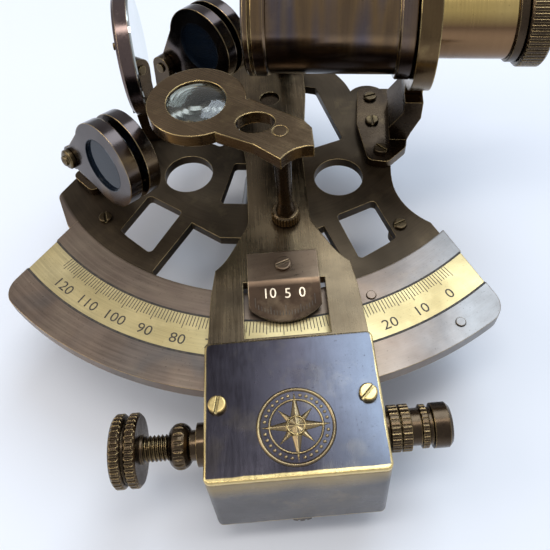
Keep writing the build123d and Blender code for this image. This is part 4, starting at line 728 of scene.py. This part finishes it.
def lettering(text, size, thick):
    """Points (mm) and triangles of one short word, centred on the origin and standing from z = 0."""
    curve = bpy.data.curves.new("word", "FONT")
    curve.body = text
    curve.size = size
    curve.extrude = 0.5 * thick
    curve.align_x = "CENTER"
    curve.align_y = "CENTER"
    curve.resolution_u = CURVE_STEPS
    holder = bpy.data.objects.new("word", curve)
    mesh = bpy.data.meshes.new_from_object(holder)
    mesh.calc_loop_triangles()
    points = np.empty(3 * len(mesh.vertices))
    mesh.vertices.foreach_get("co", points)
    triangles = np.empty(3 * len(mesh.loop_triangles), dtype=int)
    mesh.loop_triangles.foreach_get("vertices", triangles)
    bpy.data.objects.remove(holder)
    points = points.reshape(-1, 3)
    points[:, 2] += 0.5 * thick
    return points, triangles.reshape(-1, 3)


print("letters are drawn with", CURVE_STEPS, "steps to a curve")

# %% [markdown]
# Many small shapes make one piece.  An object for each of the hundred and more lines would be slow and hard
# to keep in order, so their points are put in one list, and each shape's faces count on from the
# points before it.  The piece then rides on the body it is fixed to, so it moves when the joint moves.

# %% Pieces


def join_shapes(shapes):
    """One list of points and one of faces out of many (points, faces) pairs."""
    points = np.concatenate([spots for spots, _ in shapes])
    faces, before = [], 0
    for spots, rows in shapes:
        faces += [[int(index) + before for index in row] for row in rows]
        before += len(spots)
    return points, faces


def piece(name, points, faces, material, body, smooth=False):
    """Makes one new piece, gives it its finish and lets it ride on its body."""
    made = surface_object(name, points, faces, smooth)
    made.data.materials.append(material)
    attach(made, body)
    print(name, len(made.data.polygons), "faces")
    return made


# %% [markdown]
# The scale runs around the pivot.  A mark for division n stands at an angle that grows evenly from the
# right to the left, so all the marks come from one row of angles: a sine and a cosine put each end of a
# line at its radius.

# %% Places on the scale
STRIP_Z = 31.0                                 # top of the scale strip, mm
DIVISION = math.radians(0.6)
ZERO_ANGLE = math.radians(29.34)               # division 0, from straight toward the viewer
FIRST_DIVISION, LAST_DIVISION = -5, 126


def on_arc(radius, angle):
    """Radius times (sine, minus cosine) of the angle, which is counted from -Y toward +X."""
    return np.stack([radius * np.sin(angle), -radius * np.cos(angle)], axis=-1)


division = np.arange(FIRST_DIVISION, LAST_DIVISION + 1)
angle = ZERO_ANGLE - division * DIVISION
first, last = np.degrees(angle[[0, -1]])
print("the scale runs from", round(float(first), 2), "to", round(float(last), 2), "degrees")

# %% Marks and digits of the scale
MARK_R = 79.85                                 # inner end of every mark, mm
MARK_WIDTH = 0.20                              # mm
TENTH_LENGTH, FIFTH_LENGTH, MARK_LENGTH = 3.9, 3.5, 3.0   # every tenth, every fifth and any other mark, mm
DIGIT_R = 86.9                                 # middle of the digits, mm
DIGIT_SIZE = 3.9                               # mm
DIGIT_WIDER = 1.12                             # the punched digits are a little wider than the letters
reach = np.where(division % 10 == 0, TENTH_LENGTH, np.where(division % 5 == 0, FIFTH_LENGTH, MARK_LENGTH))
shapes = [bars(on_arc(MARK_R, angle), on_arc(MARK_R + reach, angle), np.full(len(angle), MARK_WIDTH),
               STRIP_Z, MARK_HEIGHT)]
for label in range(0, LAST_DIVISION, 10):
    turn = ZERO_ANGLE - label * DIVISION
    points, faces = lettering(str(label), DIGIT_SIZE, MARK_HEIGHT)
    points[:, 0] *= DIGIT_WIDER
    spin = np.array([[math.cos(turn), math.sin(turn), 0], [-math.sin(turn), math.cos(turn), 0], [0, 0, 1]])
    centre = np.array([*on_arc(DIGIT_R, turn), STRIP_Z])
    shapes.append((points @ spin + centre, faces))
points, faces = join_shapes(shapes)
piece("scale_marks", points, faces, black_fill, "frame")

# %% [markdown]
# The strip lies in a groove with a narrow gap on both of its sides, and the dark line of that gap is a
# painted shadow that reaches a little over the borders.  A mask in the finishes could show it, but it would
# have to be the same in the strip's and in the limb's, so two thin bands of the black filling follow the
# strip's edges instead.

# %% Painted shadow in the gap beside the strip
GAP_EDGES = ((79.45, -52.3, 37.3), (90.05, -50.6, 35.6))   # radius in mm and the two end angles in degrees
GAP_WIDTH = 0.60                               # mm
GAP_BARS = 120                                 # short bars that follow each edge
shapes = []
for radius, first, last in GAP_EDGES:
    row = on_arc(radius, np.radians(np.linspace(first, last, GAP_BARS + 1)))
    shapes.append(bars(row[:-1], row[1:], np.full(GAP_BARS, GAP_WIDTH), STRIP_Z, MARK_HEIGHT))
points, faces = join_shapes(shapes)
# The black filling here is a painted shadow of the gap, not wax.
piece("strip_gap_shadow", points, faces, black_fill, "frame")

# %% [markdown]
# The vernier is engraved on a leaf that slopes down to the strip.  Its marks are drawn flat and then laid
# onto the slope, which is simpler than working out each corner in space: one direction runs up the
# leaf, one across it, and their cross product stands proud of it.

# %% The sloping leaf
LEAF_BEND = np.array([0.0, -70.2, 35.6])       # far edge of the sloping leaf, mm
LEAF_DOWN = np.array([0.0, -10.6, -3.3])       # from there to its near edge


def on_leaf(points):
    """The bend plus x across, y up the leaf and z along the cross product of those two directions."""
    up = -LEAF_DOWN / np.linalg.norm(LEAF_DOWN)
    across = np.array([1.0, 0.0, 0.0])
    return LEAF_BEND + points[:, :1] * across + points[:, 1:2] * up + points[:, 2:] * np.cross(across, up)


print("the leaf is", round(float(np.linalg.norm(LEAF_DOWN)), 2), "mm long")

# %% Digits of the vernier
VERNIER_DIGITS = (("10", -3.9, -3.6), ("5", 0.8, -3.9), ("0", 4.5, -3.9))   # text, and x and y on the leaf
VERNIER_DIGIT_SIZE = 3.7                       # mm
bright_digits = aged_metal("bright_digits", (0.42, 0.36, 0.28), (0.62, 0.55, 0.44), (0.9, 0.84, 0.72),
                           patch=300.0)
shapes = []
for text, x, y in VERNIER_DIGITS:
    points, faces = lettering(text, VERNIER_DIGIT_SIZE, MARK_HEIGHT)
    shapes.append((on_leaf(points + [x, y, 0.0]), faces))
points, faces = join_shapes(shapes)
piece("vernier_digits", points, faces, bright_digits, "arm")

# %% Fine marks of the vernier
FINE_MARKS, FINE_HALF = 21, 7.6                # how many, and from the middle to the last one, mm
EDGE_R, EDGE_Y = 13.0, -10.2                   # radius of the leaf's near edge, and y of its middle, mm
EDGE_GAP = 0.75                                # from that edge to the marks, mm
FINE_TENTH, FINE_FIFTH, FINE_LENGTH, FINE_WIDTH = 2.6, 2.0, 1.2, 0.18   # mm
count = np.arange(FINE_MARKS)
fine_x = np.linspace(-FINE_HALF, FINE_HALF, FINE_MARKS)
edge_y = EDGE_Y + EDGE_R - np.sqrt(EDGE_R ** 2 - fine_x ** 2) + EDGE_GAP
length = np.where(count % 10 == 0, FINE_TENTH, np.where(count % 5 == 0, FINE_FIFTH, FINE_LENGTH))
points, faces = bars(np.stack([fine_x, edge_y], axis=1), np.stack([fine_x, edge_y + length], axis=1),
                     np.full(FINE_MARKS, FINE_WIDTH), 0.0, MARK_HEIGHT)
piece("vernier_marks", on_leaf(points), faces, black_fill, "arm")

# %% [markdown]
# The thread of the tangent screw shows between its wheel and the ball nut.  A thread is a tube whose
# radius rises and falls while it winds: the height of the profile depends on the distance along the axis
# minus the part of a turn already made, so one formula gives the whole helix.

# %% Screw thread
SCREW_AT = np.array([0.0, -108.0, 27.0])       # a point on the screw's axis, mm
THREAD_FROM, THREAD_TO = -35.4, -29.15         # where the bare thread begins and ends along the axis, mm
CORE_R, CREST_R, PITCH = 2.42, 3.0, 0.95       # mm


def threaded_rod(x0, x1, core, crest, pitch, around=48, per_pitch=8):
    """Radius = core + (crest - core) * triangle wave of (x / pitch - turn); ends closed on the axis."""
    rows = int((x1 - x0) / pitch * per_pitch) + 1
    x = np.linspace(x0, x1, rows)[:, None]
    turn = np.arange(around)[None, :] / around
    phase = (x / pitch - turn) % 1.0
    radius = core + (crest - core) * (1.0 - np.abs(2.0 * phase - 1.0))
    radius[[0, -1]] = core
    spot = np.stack([np.broadcast_to(x, radius.shape), radius * np.cos(2 * np.pi * turn),
                     radius * np.sin(2 * np.pi * turn)], axis=-1)
    points = np.concatenate([spot.reshape(-1, 3), [[x0, 0, 0], [x1, 0, 0]]])
    i, j = np.meshgrid(np.arange(rows - 1), np.arange(around), indexing="ij")
    k = (j + 1) % around
    quads = np.stack([i * around + j, i * around + k, (i + 1) * around + k, (i + 1) * around + j], axis=-1)
    ring, after = np.arange(around), (np.arange(around) + 1) % around
    last = (rows - 1) * around
    first_cap = np.stack([np.full(around, len(points) - 2), after, ring], axis=1)
    last_cap = np.stack([np.full(around, len(points) - 1), last + ring, last + after], axis=1)
    faces = [row[::-1] for part in (quads.reshape(-1, 4), first_cap, last_cap) for row in part.tolist()]
    return points, faces


points, faces = threaded_rod(THREAD_FROM, THREAD_TO, CORE_R, CREST_R, PITCH)
piece("tangent_thread", points + SCREW_AT, faces, dark_bronze, "tangent_wheel")

# %% [markdown]
# The cover of the box carries a raised ornament.  A compass rose suits a navigator's tool and belongs to
# nobody: a ring with a beaded border, and an eight-pointed star whose rays have a ridge down their middle.
# Each ray is two sloping triangles from the ridge to its two edges, which catch the light unlike.

# %% Rings, rays and beads


def ring_band(inner, outer, height, around=96, rows=7):
    """A raised ring with a rounded top: its height is a half sine between the two radii."""
    across = np.linspace(0.0, 1.0, rows)[:, None]
    turn = 2 * np.pi * np.arange(around)[None, :] / around
    radius = inner + (outer - inner) * across
    rise = np.broadcast_to(height * np.sin(np.pi * across), (rows, around))
    points = np.stack([radius * np.cos(turn), radius * np.sin(turn), rise], axis=-1).reshape(-1, 3)
    i, j = np.meshgrid(np.arange(rows - 1), np.arange(around), indexing="ij")
    k = (j + 1) % around
    quads = np.stack([i * around + j, (i + 1) * around + j, (i + 1) * around + k, i * around + k], axis=-1)
    ring, after, last = np.arange(around), (np.arange(around) + 1) % around, (rows - 1) * around
    floor = np.stack([ring, after, last + after, last + ring], axis=-1)
    return points, quads.reshape(-1, 4).tolist() + floor.tolist()


def star_ray(angle, tip, waist, waist_angle, ridge):
    """A ray from the centre: ridge line up the middle, foot points at the waist on both sides."""
    spots = [(0.0, 0.0), (tip, angle), (waist, angle + waist_angle), (waist, angle - waist_angle)]
    flat = np.array([[r * math.cos(a), r * math.sin(a), 0.0] for r, a in spots])
    crown = np.array([[0.0, 0.0, ridge]])
    return np.concatenate([flat, crown]), [[4, 1, 2], [4, 3, 1], [0, 2, 1], [0, 1, 3], [0, 4, 2], [0, 3, 4]]


def bead(radius, angle, size, sides=8):
    """A low dome of two rings and a pole, standing at a radius and an angle."""
    turn = 2 * np.pi * np.arange(sides) / sides
    rings = [np.stack([r * np.cos(turn), r * np.sin(turn), np.full(sides, h)], axis=1)
             for r, h in ((size, 0.0), (0.75 * size, 0.5 * size))]
    points = np.concatenate(rings + [[[0, 0, 0.72 * size]]])
    points[:, :2] += [radius * math.cos(angle), radius * math.sin(angle)]
    faces = [[i, (i + 1) % sides, sides + (i + 1) % sides, sides + i] for i in range(sides)]
    faces += [[sides + i, sides + (i + 1) % sides, 2 * sides] for i in range(sides)]
    faces.append(list(reversed(range(sides))))
    return points, faces


print("a bead has", len(bead(0.0, 0.0, 1.0)[1]), "faces")

# %% Compass rose
ROSE_AT = np.array([0.3, -109.2, 37.2])        # centre on the cover's top, mm
ROSE_RINGS = ((7.9, 8.8, 0.34), (5.6, 6.2, 0.28), (1.7, 2.3, 0.60))   # inner and outer radius, height, mm
SHORT_RAY = (5.5, 2.0, 0.42, 0.42)             # tip, waist, angle at the waist in radians, ridge; else in mm
LONG_RAY = (7.7, 2.4, 0.48, 0.55)
BEADS, BEAD_R, BEAD_SIZE = 32, 7.0, 0.42       # those that would lie under a long ray's tip are left out
quarter = math.pi / 2
shapes = [ring_band(*ring) for ring in ROSE_RINGS]
shapes += [star_ray(quarter * (i + 0.5), *SHORT_RAY) for i in range(4)]
shapes += [star_ray(quarter * i, *LONG_RAY) for i in range(4)]
shapes += [bead(BEAD_R, 2 * math.pi * i / BEADS, BEAD_SIZE) for i in range(BEADS) if i % 8]
points, faces = join_shapes(shapes)
piece("compass_rose", points + ROSE_AT, faces, rose_brass, "arm")

# %% [markdown]
# A box around the solids as they were loaded is kept in cad_box.  The pieces that were added must not
# make the part larger.
